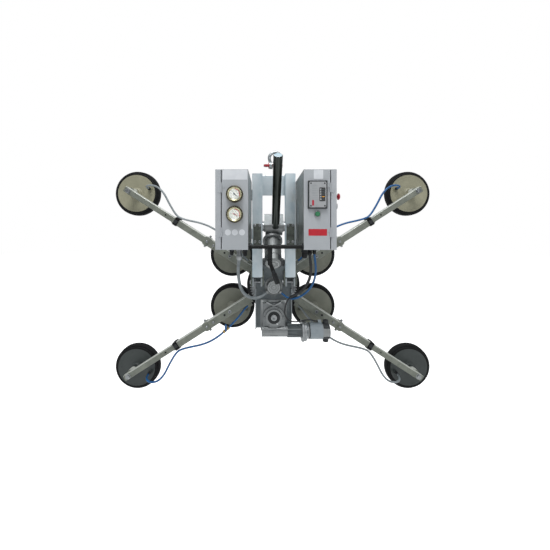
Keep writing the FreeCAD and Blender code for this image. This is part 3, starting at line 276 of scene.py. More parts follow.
def dressed(node, body, finishes, edge=1.0, sort=None, leave=None, facing=None, within=0.99, rolled=0,
            split=False):
    """Stands for a CAD node: the same form with broken edges and, if rolled, rounder long corners. Each solid
    has its finish by sort, or is left to other pieces; the sides that face one way have the last finish."""
    form = form_of(node, split or rolled > 0)
    corners = [seam for seam in form.edges if rolled and seam.calc_length() > LONG_CORNER and seam.is_convex
               and seam.calc_face_angle() > SQUARE_FROM]
    bmesh.ops.bevel(form, geom=corners, offset=rolled * MM, segments=4, profile=0.5, affect="EDGES")
    form.normal_update()
    for solid, low, high in islands(form) if sort or leave else ():
        if leave and leave(low, high):
            verts = {vert for face in solid for vert in face.verts}
            bmesh.ops.delete(form, geom=list(verts), context="VERTS")
            continue
        for face in solid:
            face.material_index = sort(low, high) if sort else 0
    for face in form.faces if facing else ():
        if face.normal.dot(Vector(facing)) > within:
            face.material_index = len(finishes) - 1
    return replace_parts(finished(node + "_finished", form, body, finishes, edge), node)


dressed("rails", "frame", zinc, edge=0.8, rolled=5)
dressed("cross_beam", "frame", zinc, edge=1.5)
# Dulled zinc: the brackets' plating, greyer than the rails', with dark water marks.
dull_zinc = surface("zinc_plating_dulled", "#616661",
                    [((45, 0.38, 0.7), "#787d76"), ((16, 0.58, 0.82), "#4b4f4a")],
                    gloss=(8, 0.38, 0.56), grain=(2.5, 0.12), Metallic=1.0)
dressed("clevis_brackets", "frame", dull_zinc, edge=0.5, split=True)

# Tilt shaft and clevis pins: turned steel bar, with the bolts that hold the brackets to the rails, and the
# lever's black pivot bolt.
# Turned bright steel: a grey metal, darker where oil has stayed and pale on its edges.
bright_steel = surface("bright_turned_steel", "#9a9d9f",
                       [((25, 0.45, 0.75), "#6f7375"), (worn_edges, "#c9cccd")],
                       gloss=(6, 0.26, 0.44), grain=(1.2, 0.05), Metallic=1.0)
# Black phenolic moulding: near black, fine satin skin with paler scuffs.
black_moulding = surface("black_phenolic_moulding", "#111213",
                         [((12, 0.55, 0.85), "#1e2021"), (worn_edges, "#3d4042")],
                         gloss=(5, 0.32, 0.5), grain=(1.4, 0.08), IOR=1.55, Specular_IOR_Level=0.25)
HOOK_AHEAD, HOOK_RISE = 407.458, 733.521
TOWARDS = (0, -1, 0)
WASHER_T, HEAD_CHAMFER, CHAMFER_IN = 1.6, 1.2, 0.6


def place(x, ahead, rise):
    """A point given in mm to the right, ahead of the pad plates and above the slewing axis, in metres."""
    return Vector((x, HOOK_AHEAD - ahead, rise - HOOK_RISE)) * MM


def disc(radius, thickness):
    """The profile of a plain disc."""
    return [(0, 0), (radius, 0), (radius, thickness), (0, thickness)]


def ring(inner, outer, start, end):
    """The profile of a plain ring, to be closed."""
    return [(inner, start), (outer, start), (outer, end), (inner, end)]


def turn_on(form, profile, base, axis, sides=32, finish=0, closed=False):
    """Adds a turned solid to a form: (radius, height) steps in mm from a base point along an axis."""
    axis = Vector(axis).normalized()
    side = axis.orthogonal().normalized()
    other = axis.cross(side)
    rings = []
    for radius, height in profile:
        turns = [2 * math.pi * step / sides for step in range(sides if radius else 1)]
        spokes = [(side * math.cos(t) + other * math.sin(t)) * radius for t in turns]
        rings.append([form.verts.new(base + (axis * height + spoke) * MM) for spoke in spokes])
    for first, second in zip(rings, rings[1:] + rings[:1] if closed else rings[1:]):
        for at in range(sides):
            after = (at + 1) % sides
            ends = ([first[at], first[after]] if len(first) > 1 else first[:],
                    [second[after], second[at]] if len(second) > 1 else second[:])
            form.faces.new(ends[0] + ends[1]).material_index = finish


def hex_bolt(form, base, axis, across, height, washer):
    """A hexagon head with its chamfer, on a plain washer."""
    turn_on(form, disc(washer, WASHER_T), base, axis)
    corner = across / math.cos(math.radians(30)) / 2
    head = [(0, WASHER_T), (corner, WASHER_T), (corner, height - HEAD_CHAMFER),
            (across / 2 - CHAMFER_IN, height), (0, height)]
    turn_on(form, head, base, axis, sides=6)


RAIL_X, RAIL_FACE, BOLT_SIDE, BOLT_ROWS, FACING_T = 97, 229, 14, (368, 272), 8
LEVER_AHEAD, BRACKET_BOLT = 450, 14.5 * MM
dressed("tilt_shaft", "frame", bright_steel, edge=1.5)
# The brackets' own bolts are made after these, with hexagon heads.
dressed("frame_bolts", "frame", [bright_steel, black_moulding], edge=1.0,
        sort=lambda low, high: 1 if high.y < place(0, LEVER_AHEAD, 0).y else 0,
        leave=lambda low, high: high.x - low.x < BRACKET_BOLT and high.z - low.z < BRACKET_BOLT)
form = bmesh.new()
for side in (-RAIL_X, RAIL_X):
    for x in (side - BOLT_SIDE, side + BOLT_SIDE):
        for rise in BOLT_ROWS:
            hex_bolt(form, place(x, RAIL_FACE + FACING_T, rise), TOWARDS, across=13, height=8, washer=8.5)
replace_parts(finished("bracket_bolts", form, "frame", bright_steel), "frame_bolts")

# Carrier plate and bearing: a laser cut plate with folded lips and welded lugs, painted machine grey, in
# front of the bearing's ground steel ring.
# Machine grey enamel: brushed on, half gloss, dusty in broad patches, rubbed to steel at the edges.
machine_grey = surface("grey_machine_enamel", "#777f82",
                       [((70, 0.4, 0.75), "#687074"), ((18, 0.6, 0.85), "#8b9294"), (worn_edges, "#a2a9ac")],
                       gloss=(14, 0.34, 0.55), grain=((3, 0.25, 0.75), 0.15), IOR=1.5)
dressed("carrier_plate", "frame", machine_grey, edge=0.8, split=True)
dressed("bearing_inner_ring", "frame", bright_steel)

# Rotary union: a turned aluminium body on the slewing axis with a fitting for each hose. Its cover has turned
# rings and a ring of socket screws round a central plug.
# Cast and turned aluminium: pale grey, grainy skin with darker pores, dull in the hollows.
CAST_GRAIN = (2.2, 0.3, 0.7, 5)
cast_aluminium = surface("sand_cast_aluminium", "#8f9292",
                         [((45, 0.42, 0.75), "#6f7373"), (CAST_GRAIN, "#a5a8a8"), (worn_edges, "#c4c7c7")],
                         gloss=(CAST_GRAIN, 0.42, 0.62), grain=(CAST_GRAIN, 0.3), Metallic=1.0)
UNION_AT, COVER_RINGS, SCREWS, SCREW_R = place(0, 215, 0), ((33.5, 35.5), (20, 21.5)), 6, 27.5
RING_SUNK, RING_PROUD = -0.5, 0.8
UNION_PLUG = [(0, -0.5), (9, -0.5), (9, 1.6), (8, 2.6), (4, 2.6), (4, 1), (0, 1)]
UNION_SCREW = [(0, -0.5), (3.4, -0.5), (3.4, 2.2), (2.9, 2.8), (1.8, 2.8), (1.8, 1.2), (0, 1.2)]
dressed("rotary_union", "frame", cast_aluminium)
form = bmesh.new()
for inner, outer in COVER_RINGS:
    turn_on(form, ring(inner, outer, RING_SUNK, RING_PROUD), UNION_AT, TOWARDS, sides=64, closed=True)
turn_on(form, UNION_PLUG, UNION_AT, TOWARDS, sides=6)
for step in range(SCREWS):
    turn = 2 * math.pi * step / SCREWS
    at = UNION_AT + Vector((math.cos(turn), 0, math.sin(turn))) * SCREW_R * MM
    turn_on(form, UNION_SCREW, at, TOWARDS, sides=16)
finished("union_cover", form, "frame", bright_steel, edge=0)

# Slewing drive: a worm gearbox in a cast aluminium case, an adapter, a steel flange and a brushed motor with
# a cast end cap and black moulded brush holders.
# Grey motor enamel: a sprayed can with an even half gloss and faint dirt.
motor_enamel = surface("grey_motor_enamel", "#8c979e",
                       [((40, 0.45, 0.8), "#79848b"), (worn_edges, "#b4bcc1")],
                       gloss=(8, 0.3, 0.46), grain=((1.8, 0.25, 0.75), 0.06), IOR=1.5,
                       Coat_Weight=0.25, Coat_Roughness=0.25)
# Weathered casting: the same aluminium gone dark with oil and dust, bright only on its edges.
dark_casting = surface("oil_darkened_cast_aluminium", "#838687",
                       [((30, 0.4, 0.72), "#5e6263"), (CAST_GRAIN, "#989b9c"), (worn_edges, "#d0d3d3")],
                       gloss=(CAST_GRAIN, 0.38, 0.58), grain=(CAST_GRAIN, 0.3), Metallic=1.0)
# Adapter enamel: machine grey made dark as a painted shade, paler at its edges.
shaded_adapter_enamel = surface("grey_enamel_painted_shade", "#5a6163",
                    [((40, 0.4, 0.75), "#4c5254"), (worn_edges, "#848a8c")],
                    gloss=(14, 0.34, 0.55), grain=((3, 0.25, 0.75), 0.15), IOR=1.5)
ADAPTER_END, FLANGE_END, CAP_START, BRUSH_WIDTH = 164, 194, 286, 36
CAP, FLANGE, CAN, BRUSH, ADAPTER = range(5)


def motor_finish(low, high):
    """The finish of each of the motor's solids, by where it starts along the motor and how wide it is."""
    start = low.x / MM
    if ADAPTER_END - 1 < start < FLANGE_END - 1:
        return FLANGE
    if high.x - low.x < BRUSH_WIDTH * MM:
        return BRUSH
    if FLANGE_END - 2 < start < CAP_START - 2:
        return CAN
    return ADAPTER if start < ADAPTER_END - 1 else CAP


dressed("slewing_gearbox", "frame", dark_casting, edge=2.0)
# The adapter takes the dark enamel, a painted shade.
dressed("slewing_motor", "frame",
        [cast_aluminium, bright_steel, motor_enamel, black_moulding, shaded_adapter_enamel], edge=1.5, sort=motor_finish)
# Output seal: a black rubber lip ring in the gearbox's cover, round the shaft's bright turned end.
SHAFT_DROP, COVER_FACE, SHAFT_END = -170, 242, 246
LIP_RING = [(18.4, -7), (28.6, -7), (28.6, 0.2), (36, 0.2), (36, 1.2), (34.5, 2), (21, 2), (18.4, -1)]
SHAFT_FACE = [(0, 0), (16.8, 0), (16.8, 0.5), (15.6, 1.4), (6, 1.4), (4.5, 0.4), (0, 0.4)]
form = bmesh.new()
turn_on(form, LIP_RING, place(0, COVER_FACE, SHAFT_DROP), TOWARDS, sides=64, closed=True)
finished("output_seal", form, "frame", black_moulding, edge=0)
form = bmesh.new()
turn_on(form, SHAFT_FACE, place(0, SHAFT_END, SHAFT_DROP), TOWARDS, sides=48)
finished("shaft_end_face", form, "pinion", bright_steel, edge=0)
# Motor neck: a cast centring ring, and a black sealing ring against the can.
ALONG_MOTOR, AXLE_AHEAD, AXLE_RISE, NECK_R = (1, 0, 0), 205.5, -258, 42.5
NECK_AT, NECK_RINGS = place(FLANGE_END, AXLE_AHEAD, AXLE_RISE), ((5, 12, 45.5, 0), (12.5, 17.5, 46.2, 1))
form = bmesh.new()
for start, end, outer, finish in NECK_RINGS:
    turn_on(form, ring(NECK_R, outer, start, end), NECK_AT, ALONG_MOTOR, sides=64, finish=finish, closed=True)
finished("motor_neck_rings", form, "frame", [dark_casting, black_moulding], edge=0.6)
# Brush covers: black saddles round the motor's cap, with a screwed cap over each brush holder.
BRUSH_X, BRUSH_REACH = 308, 54
BRUSH_CAP = [(0, -9), (17, -9), (17, 8), (15, 10), (6, 10), (6, 8), (0, 8)]
SADDLE_R, SADDLE_BACK, SADDLE_LENGTH, SADDLE_STEPS = (43, 47), 18, 35, 12


def saddle(form, base, axis, middle, reach):
    """Adds a curved block round a motor's axis, that many degrees to either side of a middle direction."""
    axis, middle = Vector(axis).normalized(), Vector(middle).normalized()
    other = axis.cross(middle)
    inner, outer = SADDLE_R
    rings = []
    for step in range(SADDLE_STEPS + 1):
        turn = math.radians(reach * (2 * step / SADDLE_STEPS - 1))
        out = middle * math.cos(turn) + other * math.sin(turn)
        rings.append([form.verts.new(base + (out * radius + axis * along) * MM)
                      for radius, along in ring(inner, outer, 0, SADDLE_LENGTH)])
    for first, second in zip(rings, rings[1:]):
        for at in range(4):
            after = (at + 1) % 4
            form.faces.new((first[at], first[after], second[after], second[at]))
    form.faces.new(rings[0][::-1])
    form.faces.new(rings[-1])


form = bmesh.new()
for side in (1, -1):
    base = place(BRUSH_X, AXLE_AHEAD, AXLE_RISE + side * BRUSH_REACH)
    turn_on(form, BRUSH_CAP, base, (0, 0, side), sides=36)
    saddle(form, place(BRUSH_X - SADDLE_BACK, AXLE_AHEAD, AXLE_RISE), ALONG_MOTOR, (0, 0, side), reach=56)
finished("slewing_brush_covers", form, "frame", black_moulding, edge=0)
# Through bolts of the motor flange: socket screws round the rim.
FLANGE_SCREW = [(0, -1), (4.2, -1), (4.2, 4), (3.6, 4.6), (2.2, 4.6), (2.2, 2.2), (0, 2.2)]
FLANGE_SCREW_R = 46
form = bmesh.new()
for step in range(SCREWS):
    turn = 2 * math.pi * (step + 0.5) / SCREWS
    ahead, rise = FLANGE_SCREW_R * math.cos(turn), FLANGE_SCREW_R * math.sin(turn)
    base = place(FLANGE_END, AXLE_AHEAD + ahead, AXLE_RISE + rise)
    turn_on(form, FLANGE_SCREW, base, ALONG_MOTOR, sides=18)
finished("motor_flange_screws", form, "frame", bright_steel, edge=0)
dressed("slewing_pinion", "pinion", bright_steel, edge=0.6)

# Equipment boxes: folded and welded sheet steel with a door on each, powder coated light grey, with cable
# glands, a charging socket and hinges.
# Light grey powder coat: a fine orange peel, even colour with faint dust.
powder_grey = surface("light_grey_powder_coat", "#b0b4b8",
                      [((90, 0.45, 0.8), "#a6abaf"), ((30, 0.62, 0.85), "#babdc0")],
                      gloss=(20, 0.4, 0.54), grain=((2.4, 0.25, 0.75), 0.07), IOR=1.5)
# Bare sheet on the sides towards the rails: rolled metal, hazy in long bands, its dark colour a painted shade
# over what it mirrors.
ROLLED_BANDS = (60, 0.35, 0.7, 3, (1, 1, 0.15))
shaded_side_sheet = surface("rolled_sheet_painted_shade", "#6c716e",
                     [(ROLLED_BANDS, "#838884"), ((24, 0.6, 0.85), "#585d5a")],
                     gloss=(ROLLED_BANDS, 0.24, 0.4), grain=((3, 0.25, 0.75), 0.05), Metallic=0.5)
SOCKET_X, SOCKET_BELOW = 290 * MM, place(0, 0, 480).z
# The sides that face the rails take the dark sheet: painted shade.
for side, inward in (("left", (1, 0, 0)), ("right", (-1, 0, 0))):
    dressed(f"box_shell_{side}", "frame", [powder_grey, shaded_side_sheet], edge=1.6, facing=inward)
    dressed(f"door_{side}", f"door_{side}", powder_grey)
dressed("door_hinges", "frame", powder_grey, edge=0.5)
dressed("box_fittings", "frame", [black_moulding, bright_steel], edge=0.8,
        sort=lambda low, high: 1 if high.x > SOCKET_X and high.z < SOCKET_BELOW else 0)
# Under the boxes: a steel hose tail on the left, and cable glands with their dome nuts.
BOX_FLOOR, DOWN = 238, (0, 0, -1)
FLOOR_FITTINGS = (
    (-195, 300, 1, [(9.4, 0), (18, 0), (18, 12), (15, 14), (15, 40), (17, 42), (17, 56), (12, 66),
                    (9.4, 66)]),
    (198, 296, 0, [(8.4, 0), (15, 0), (15, 12), (12.5, 14), (13.5, 30), (9.6, 38), (8.4, 38)]),
    (222, 308, 0, [(6.4, 0), (11, 0), (11, 10), (9.5, 12), (10, 26), (7.4, 32), (6.4, 32)]),
    (-160, 345, 0, [(0, 0), (13, 0), (13, 14), (10.5, 16), (10.5, 34), (7, 40), (0, 40)]),
    (-232, 345, 0, [(0, 0), (13, 0), (13, 14), (10.5, 16), (10.5, 28), (7, 34), (0, 34)]),
    (162, 345, 0, [(0, 0), (18, 0), (18, 16), (15, 19), (15, 44), (11, 50), (0, 50)]))
form = bmesh.new()
for x, ahead, finish, steps in FLOOR_FITTINGS:
    turn_on(form, steps, place(x, ahead, BOX_FLOOR), DOWN, sides=24, finish=finish, closed=steps[0][0] > 0)
finished("box_floor_fittings", form, "frame", [black_moulding, bright_steel], edge=0.3)

# Inside the boxes: the vacuum pump and its tank on the left, the battery and the control unit on the right.
# They are of painted steel, moulding and cast aluminium, and plain because the doors hide them.
dressed("vacuum_pump", "frame", machine_grey, edge=2.0)
dressed("vacuum_tank", "frame", black_moulding, edge=3.0)
dressed("battery", "frame", black_moulding, edge=3.0)
dressed("control_unit", "frame", cast_aluminium)

# Gauges: two vacuum gauges let into the left door, with yellow passivated bezels and white printed dials
# behind flat glass.
# Yellow passivated steel: a brassy sheen that turns grey in patches.
yellow_zinc = surface("yellow_passivated_steel", "#77705a",
                      [((22, 0.4, 0.7), "#5f5f5b"), (worn_edges, "#b9b292")],
                      gloss=(5, 0.2, 0.36), grain=(1.6, 0.05), Metallic=1.0)
# Printed dial: matt white enamel, faintly yellowed, with black, red and blue printing.
dial_white = surface("white_enamelled_dial", "#e6e6e0", [((18, 0.45, 0.8), "#dad9d0")], gloss=(6, 0.45, 0.6),
                     grain=(1.5, 0.02), IOR=1.5)
inks = {name: surface(f"{name}_printing_ink", base, [((3, 0.45, 0.8), shade)], gloss=(4, 0.4, 0.55), IOR=1.5)
        for name, base, shade in (("black", "#17181b", "#26282c"), ("red", "#b01a30", "#c23a4c"),
                                  ("blue", "#1b3550", "#284a6b"))}
# Gauge glass: clear and flat, so that the dial shows through one soft reflection.
clear_glass = surface("flat_gauge_glass", "#fbfdfd", [((30, 0.5, 0.8), "#f1f5f5")], gloss=(20, 0.01, 0.03),
                      IOR=1.2, Transmission_Weight=1.0)
dial_finishes = [dial_white, *inks.values(), yellow_zinc]
WHITE, BLACK, RED, BLUE, YELLOW = range(5)


def lay_on(form, outline, ahead, thickness, finish=0):
    """Adds a flat sheet that faces the operator: its outline as (x, rise) in millimetres."""
    back = [form.verts.new(place(x, ahead, rise)) for x, rise in outline]
    front = [form.verts.new(place(x, ahead + thickness, rise)) for x, rise in outline]
    sides = [(back[at - 1], back[at], front[at], front[at - 1]) for at in range(len(outline))]
    for corners in (back, front[::-1], *sides):
        form.faces.new(corners).material_index = finish


def round_about(centre, radius, degrees):
    """A point on a circle, its angle taken clockwise from the top."""
    turn = math.radians(degrees)
    return centre[0] + radius * math.sin(turn), centre[1] + radius * math.cos(turn)


def print_number(form, words, centre, ahead, height, finish):
    """Numerals that face the operator, as printed forms a tenth of a millimetre high."""
    curve = bpy.data.curves.new("numeral", "FONT")
    curve.body = words
    curve.size = height * MM
    curve.extrude = 0.05 * MM
    curve.align_x = curve.align_y = "CENTER"
    curve.resolution_u = 3
    holder = bpy.data.objects.new("numeral", curve)
    mesh = bpy.data.meshes.new_from_object(holder)
    upright = Matrix.Rotation(math.radians(90), 4, "X")
    mesh.transform(Matrix.Translation(place(centre[0], ahead, centre[1])) @ upright)
    known = len(form.faces)
    form.from_mesh(mesh)
    form.faces.ensure_lookup_table()
    for face in form.faces[known:]:
        face.material_index = finish
    bpy.data.objects.remove(holder)
    bpy.data.meshes.remove(mesh)


GAUGE_X, DIAL_AHEAD, DIAL_R, DIAL_T, GLASS_AHEAD, GLASS_R, GLASS_T = -195, 536.0, 32.4, 0.4, 541.2, 33.2, 0.8
PRINT_AHEAD, PRINT_T, SWEEP, MARKS, MARK_OUT = DIAL_AHEAD + DIAL_T, 0.12, 135, 40, 22
LONG_MARK, SHORT_MARK, MARKS_EACH = (18, 0.5), (19.8, 0.25), 8
FIGURES, FIGURE_R, FIGURE_HEIGHT = ("0", "20", "40", "60", "80", "100"), 14.4, 4.8
RED_ARC, RED_ARC_R = range(0, 120, 3), (22.4, 25.4)
NEEDLE, NEEDLE_ABOVE, NEEDLE_T = ((20, 0), (4, 30), (9, 170), (9, 190), (4, -30)), 0.8, 0.3
NEEDLE_HUB = [(0, 0), (3.2, 0), (3.2, 1.4), (2.4, 1.9), (0, 1.9)]
BEZEL_CONE = [(25.6, 0), (32.8, 0), (32.8, 3.6), (30.5, 3.9), (25.6, 0.8)]
GAUGES = (("lower", 415, 118, RED), ("upper", 510, 132, BLUE))
dressed("vacuum_gauges", "door_left", yellow_zinc)
for name, rise, pointing, ink in GAUGES:
    centre = (GAUGE_X, rise)
    form = bmesh.new()
    turn_on(form, disc(DIAL_R, DIAL_T), place(GAUGE_X, DIAL_AHEAD, rise), TOWARDS, sides=64, finish=WHITE)
    for step in range(MARKS + 1):
        degrees = -SWEEP + step * 2 * SWEEP / MARKS
        inner, half = SHORT_MARK if step % MARKS_EACH else LONG_MARK
        mark = [round_about(centre, radius, degrees + side * math.degrees(half / radius))
                for radius, side in ((inner, -1), (MARK_OUT, -1), (MARK_OUT, 1), (inner, 1))]
        lay_on(form, mark, PRINT_AHEAD, PRINT_T, finish=BLACK)
    arc = [round_about(centre, RED_ARC_R[1], degrees) for degrees in RED_ARC]
    arc += [round_about(centre, RED_ARC_R[0], degrees) for degrees in reversed(RED_ARC)]
    lay_on(form, arc, PRINT_AHEAD, PRINT_T, finish=RED)
    for step, words in enumerate(FIGURES):
        spot = round_about(centre, FIGURE_R, -SWEEP + step * 2 * SWEEP / (len(FIGURES) - 1))
        print_number(form, words, spot, PRINT_AHEAD + PRINT_T / 2, FIGURE_HEIGHT, finish=BLACK)
    needle = [round_about(centre, radius, pointing + aside) for radius, aside in NEEDLE]
    lay_on(form, needle, PRINT_AHEAD + NEEDLE_ABOVE, NEEDLE_T, finish=ink)
    on_dial = place(GAUGE_X, PRINT_AHEAD, rise)
    turn_on(form, NEEDLE_HUB, on_dial, TOWARDS, finish=BLACK)
    turn_on(form, BEZEL_CONE, on_dial, TOWARDS, sides=64, finish=YELLOW, closed=True)
    finished(f"gauge_dial_{name}", form, "door_left", dial_finishes, edge=0)
    form = bmesh.new()
    turn_on(form, disc(GLASS_R, GLASS_T), place(GAUGE_X, GLASS_AHEAD - GLASS_T, rise), TOWARDS, sides=64)
    finished(f"gauge_glass_{name}", form, "door_left", clear_glass, edge=0)

# Control panel on the right door: a black moulded case with a pale grey printed foil behind its window, dark
# corner screws and a black display, and below it the start button's ring and the green push button.
# Printed foil: smooth satin grey, a little uneven where it was rolled on.
grey_foil = surface("grey_printed_polyester_foil", "#a3a5a7", [((25, 0.45, 0.8), "#979a9d")],
                    gloss=(9, 0.3, 0.42), grain=(5, 0.04), IOR=1.57)
# Display glass: black and glossy, with a faint green depth.
display_glass = surface("black_display_glass", "#14181a", [((12, 0.4, 0.8), "#1e2625")], gloss=(6, 0.1, 0.2),
                        IOR=1.5, Coat_Weight=0.5, Coat_Roughness=0.06)
# Display bars: one small lit lamp in amber, the others unlit.
amber = surface("amber_display_bar", "#c98a22", [((2, 0.4, 0.8), "#a8701a")], IOR=1.5, Emission_Strength=0.5,
                Emission_Color=linear("#d7952a"))
dark_bar = surface("unlit_display_bar", "#4b5356", [((3, 0.4, 0.8), "#3d4548")], gloss=(6, 0.2, 0.3), IOR=1.5)
# Darker foil bars: a faded grey print, a shade darker than the foil.
foil_print = surface("faded_grey_foil_print", "#858c90", [((4, 0.4, 0.8), "#8f9598")], gloss=(6, 0.35, 0.45),
                     IOR=1.5)


def rounded(x0, x1, z0, z1, corner, steps=5):
    """A rectangle with round corners, as (x, rise) points."""
    points = []
    for x, z, first in ((x1 - corner, z1 - corner, 0), (x0 + corner, z1 - corner, 90),
                        (x0 + corner, z0 + corner, 180), (x1 - corner, z0 + corner, 270)):
        for step in range(steps + 1):
            turn = math.radians(first + 90 * step / steps)
            points.append((x + corner * math.cos(turn), z + corner * math.sin(turn)))
    return points


PANEL_X, PANEL_Z, PANEL_AHEAD, FOIL_IN, SCREW_IN = (150.5, 241.5), (442, 574), 532, 5.5, 13
FOIL_SUNK, FOIL_T, BUTTON_RING = 0.2, 1.0, 40 * MM
FOIL_FACE, DISPLAY_T = PANEL_AHEAD + FOIL_T - FOIL_SUNK, 1.0
DISPLAY_FACE = FOIL_FACE + DISPLAY_T
PANEL_SCREW = [(0, 0), (3.6, 0), (3.6, 0.8), (2.6, 1.5), (0, 1.5)]
DISPLAY = (203, 231, 477, 541)
BARS, BAR_LOW, BAR_PITCH, BAR_T, BAR_CORNER, LIT_BAR = 5, 482, 11.5, 0.15, 0.8, 1
STEP_X, STEP_HEIGHT, LAMP_X, LAMP_LIFT, LAMP_HEIGHT = (206, 212), 8, (215, 228), 2.5, 3
KEYS, KEY_X, KEY_LOW, KEY_PITCH, KEY_HEIGHT, KEY_T = 9, (170, 194), 486, 8, 1.6, 0.1
RED_KEY, RED_KEY_T = (169, 178, 456, 482), 0.5
FOIL, SCREW, SCREEN, LIT, UNLIT, PRINT, RED_PRINT = range(7)
dressed("control_panel", "door_right", [black_moulding, bright_steel], edge=2.5,
        sort=lambda low, high: 1 if high.x - low.x < BUTTON_RING else 0)
form = bmesh.new()
(left, right), (low, top) = PANEL_X, PANEL_Z
foil = rounded(left + FOIL_IN, right - FOIL_IN, low + FOIL_IN, top - FOIL_IN, corner=6)
lay_on(form, foil, PANEL_AHEAD - FOIL_SUNK, FOIL_T, finish=FOIL)
for x in (left + SCREW_IN, right - SCREW_IN):
    for rise in (low + SCREW_IN, top - SCREW_IN):
        turn_on(form, PANEL_SCREW, place(x, FOIL_FACE, rise), TOWARDS, sides=20, finish=SCREW)
lay_on(form, rounded(*DISPLAY, corner=1.5), FOIL_FACE, DISPLAY_T, finish=SCREEN)
for row in range(BARS):
    low = BAR_LOW + row * BAR_PITCH
    step_bar = rounded(*STEP_X, low, low + STEP_HEIGHT, BAR_CORNER, steps=2)
    lay_on(form, step_bar, DISPLAY_FACE, BAR_T, finish=FOIL)
    low += LAMP_LIFT
    lamp_bar = rounded(*LAMP_X, low, low + LAMP_HEIGHT, BAR_CORNER, steps=2)
    lay_on(form, lamp_bar, DISPLAY_FACE, BAR_T, finish=LIT if row == LIT_BAR else UNLIT)
left, right = KEY_X
for row in range(KEYS):
    low = KEY_LOW + row * KEY_PITCH
    top = low + KEY_HEIGHT
    lay_on(form, [(left, low), (right, low), (right, top), (left, top)], FOIL_FACE, KEY_T, finish=PRINT)
lay_on(form, rounded(*RED_KEY, corner=2), FOIL_FACE, RED_KEY_T, finish=RED_PRINT)
finished("control_face", form, "door_right",
         [grey_foil, black_moulding, display_glass, amber, dark_bar, foil_print, inks["red"]], edge=0)
# Labels on both doors: plain thin vinyl films, the lower right one in red.
# White and red vinyl: smooth films, half gloss, the white one a little greyed.
vinyl = {name: surface(f"{name}_vinyl_label", base, [((30, 0.45, 0.8), shade)], gloss=(9, 0.3, 0.42), IOR=1.5)
         for name, base, shade in (("white", "#d9dce0", "#cfd3d8"), ("red", "#bf1528", "#ad1324"))}
DOOR_FACE, FILM, ROW_X, ROW_RISE, ROW_R = 520, 0.3, (-228, -195, -161), 330, 14.5
LABELS = (("left_top", "door_left", (-253, -136, 580, 627), "white"),
          ("right_top", "door_right", (179, 224, 583, 626), "white"),
          ("right_red", "door_right", (154, 242, 314, 346), "red"))
for name, body, edges, film in LABELS:
    form = bmesh.new()
    lay_on(form, rounded(*edges, corner=2), DOOR_FACE, FILM)
    finished(f"label_{name}", form, body, vinyl[film], edge=0)
form = bmesh.new()
for x in ROW_X:
    turn_on(form, disc(ROW_R, FILM), place(x, DOOR_FACE, ROW_RISE), TOWARDS, sides=48)
finished("label_left_row", form, "door_left", vinyl["white"], edge=0)
# Green polycarbonate lens: clean and glossy, a little darker in patches.
green_lens = surface("green_polycarbonate", "#0f7a4a", [((8, 0.4, 0.8), "#0b5f3a")], gloss=(4, 0.18, 0.3),
                     grain=(1.5, 0.03), IOR=1.58, Coat_Weight=0.4, Coat_Roughness=0.08)
dressed("start_button", "start_button", green_lens, edge=2.5)
# Red moulded plastic: a bright satin skin, a little paler on rubbed edges.
red_plastic = surface("red_moulded_abs", "#b3122a", [((10, 0.45, 0.8), "#970d22"), (worn_edges, "#cf4a58")],
                      gloss=(4, 0.28, 0.42), grain=(1.2, 0.05), IOR=1.54)
dressed("stop_knob", "stop_knob", red_plastic, edge=1.2)

# Handle between the boxes and the swinging lever on its stem: black coated tube and flat bar, with a rubber
# grip on the lever's end.
# Black powder coat: deep black with a soft sheen, grey at the corners where hands and gloves rub it.
black_coat = surface("black_powder_coat", "#0e0f10", [((24, 0.5, 0.8), "#17191a"), (worn_edges, "#323537")],
                     gloss=(9, 0.38, 0.56), grain=(2.0, 0.08), IOR=1.5, Specular_IOR_Level=0.25)
# Black rubber: matt, dusty grey on the high spots, fine moulded grain.
rubber = surface("black_nitrile_rubber", "#0f1011",
                 [((30, 0.5, 0.8), "#181a1b"), ((3, 0.62, 0.9), "#2a2c2d")],
                 gloss=(7, 0.55, 0.78), grain=(1.6, 0.15), IOR=1.52, Specular_IOR_Level=0.2)
GRIP_TOP = place(0, 0, 140).z
dressed("handle_bar", "frame", black_coat, edge=1.2)
dressed("swing_lever", "swing_lever", [black_coat, rubber], edge=1.2,
        sort=lambda low, high: 1 if high.z < GRIP_TOP else 0)

# Lifting arm: a thick round steel pole with a welded lug, on the foot of the tilt gearbox; the motor hangs in
# front of it and leans as the pole does.
# Oiled dark steel: black mill scale with long paler streaks along the bar.
BAR_STREAKS = (16, 0.4, 0.75, 3, (1, 0.12, 0.12))
dark_steel = surface("oiled_mill_scale_steel", "#242824",
                     [(BAR_STREAKS, "#4a504a"), ((40, 0.55, 0.8), "#1a1c19"), (worn_edges, "#a0a6a3")],
                     gloss=(BAR_STREAKS, 0.28, 0.42), grain=(2.0, 0.1), Metallic=1.0)
LEAN = math.radians(43)
POLE_UP, MOTOR_AXIS = (0, -math.sin(LEAN), math.cos(LEAN)), (0, -math.cos(LEAN), -math.sin(LEAN))
TILT_AHEAD, TILT_RISE, WORM_X, WORM_DROP, TILT_BRUSH, MOTOR_END = 199, 362, -8, 36, 240, 262
BRUSH_HOLDER = 50 * MM
dressed("lifting_pole", "lifting_arm", [dark_steel, zinc], edge=1.2, facing=POLE_UP)
dressed("tilt_gearbox", "lifting_arm", cast_aluminium, edge=2.0)
dressed("tilt_motor_flange", "lifting_arm", dark_casting, edge=1.2)
dressed("tilt_motor", "lifting_arm", [cast_aluminium, black_moulding], edge=1.5,
        sort=lambda low, high: 1 if high.x - low.x < BRUSH_HOLDER else 0)


def on_arm(x, ahead, rise):
    """A point given on the lifting arm, before it leans, in metres in the row frame."""
    return place(x, TILT_AHEAD + ahead * math.cos(LEAN) + rise * math.sin(LEAN),
                 TILT_RISE - ahead * math.sin(LEAN) + rise * math.cos(LEAN))


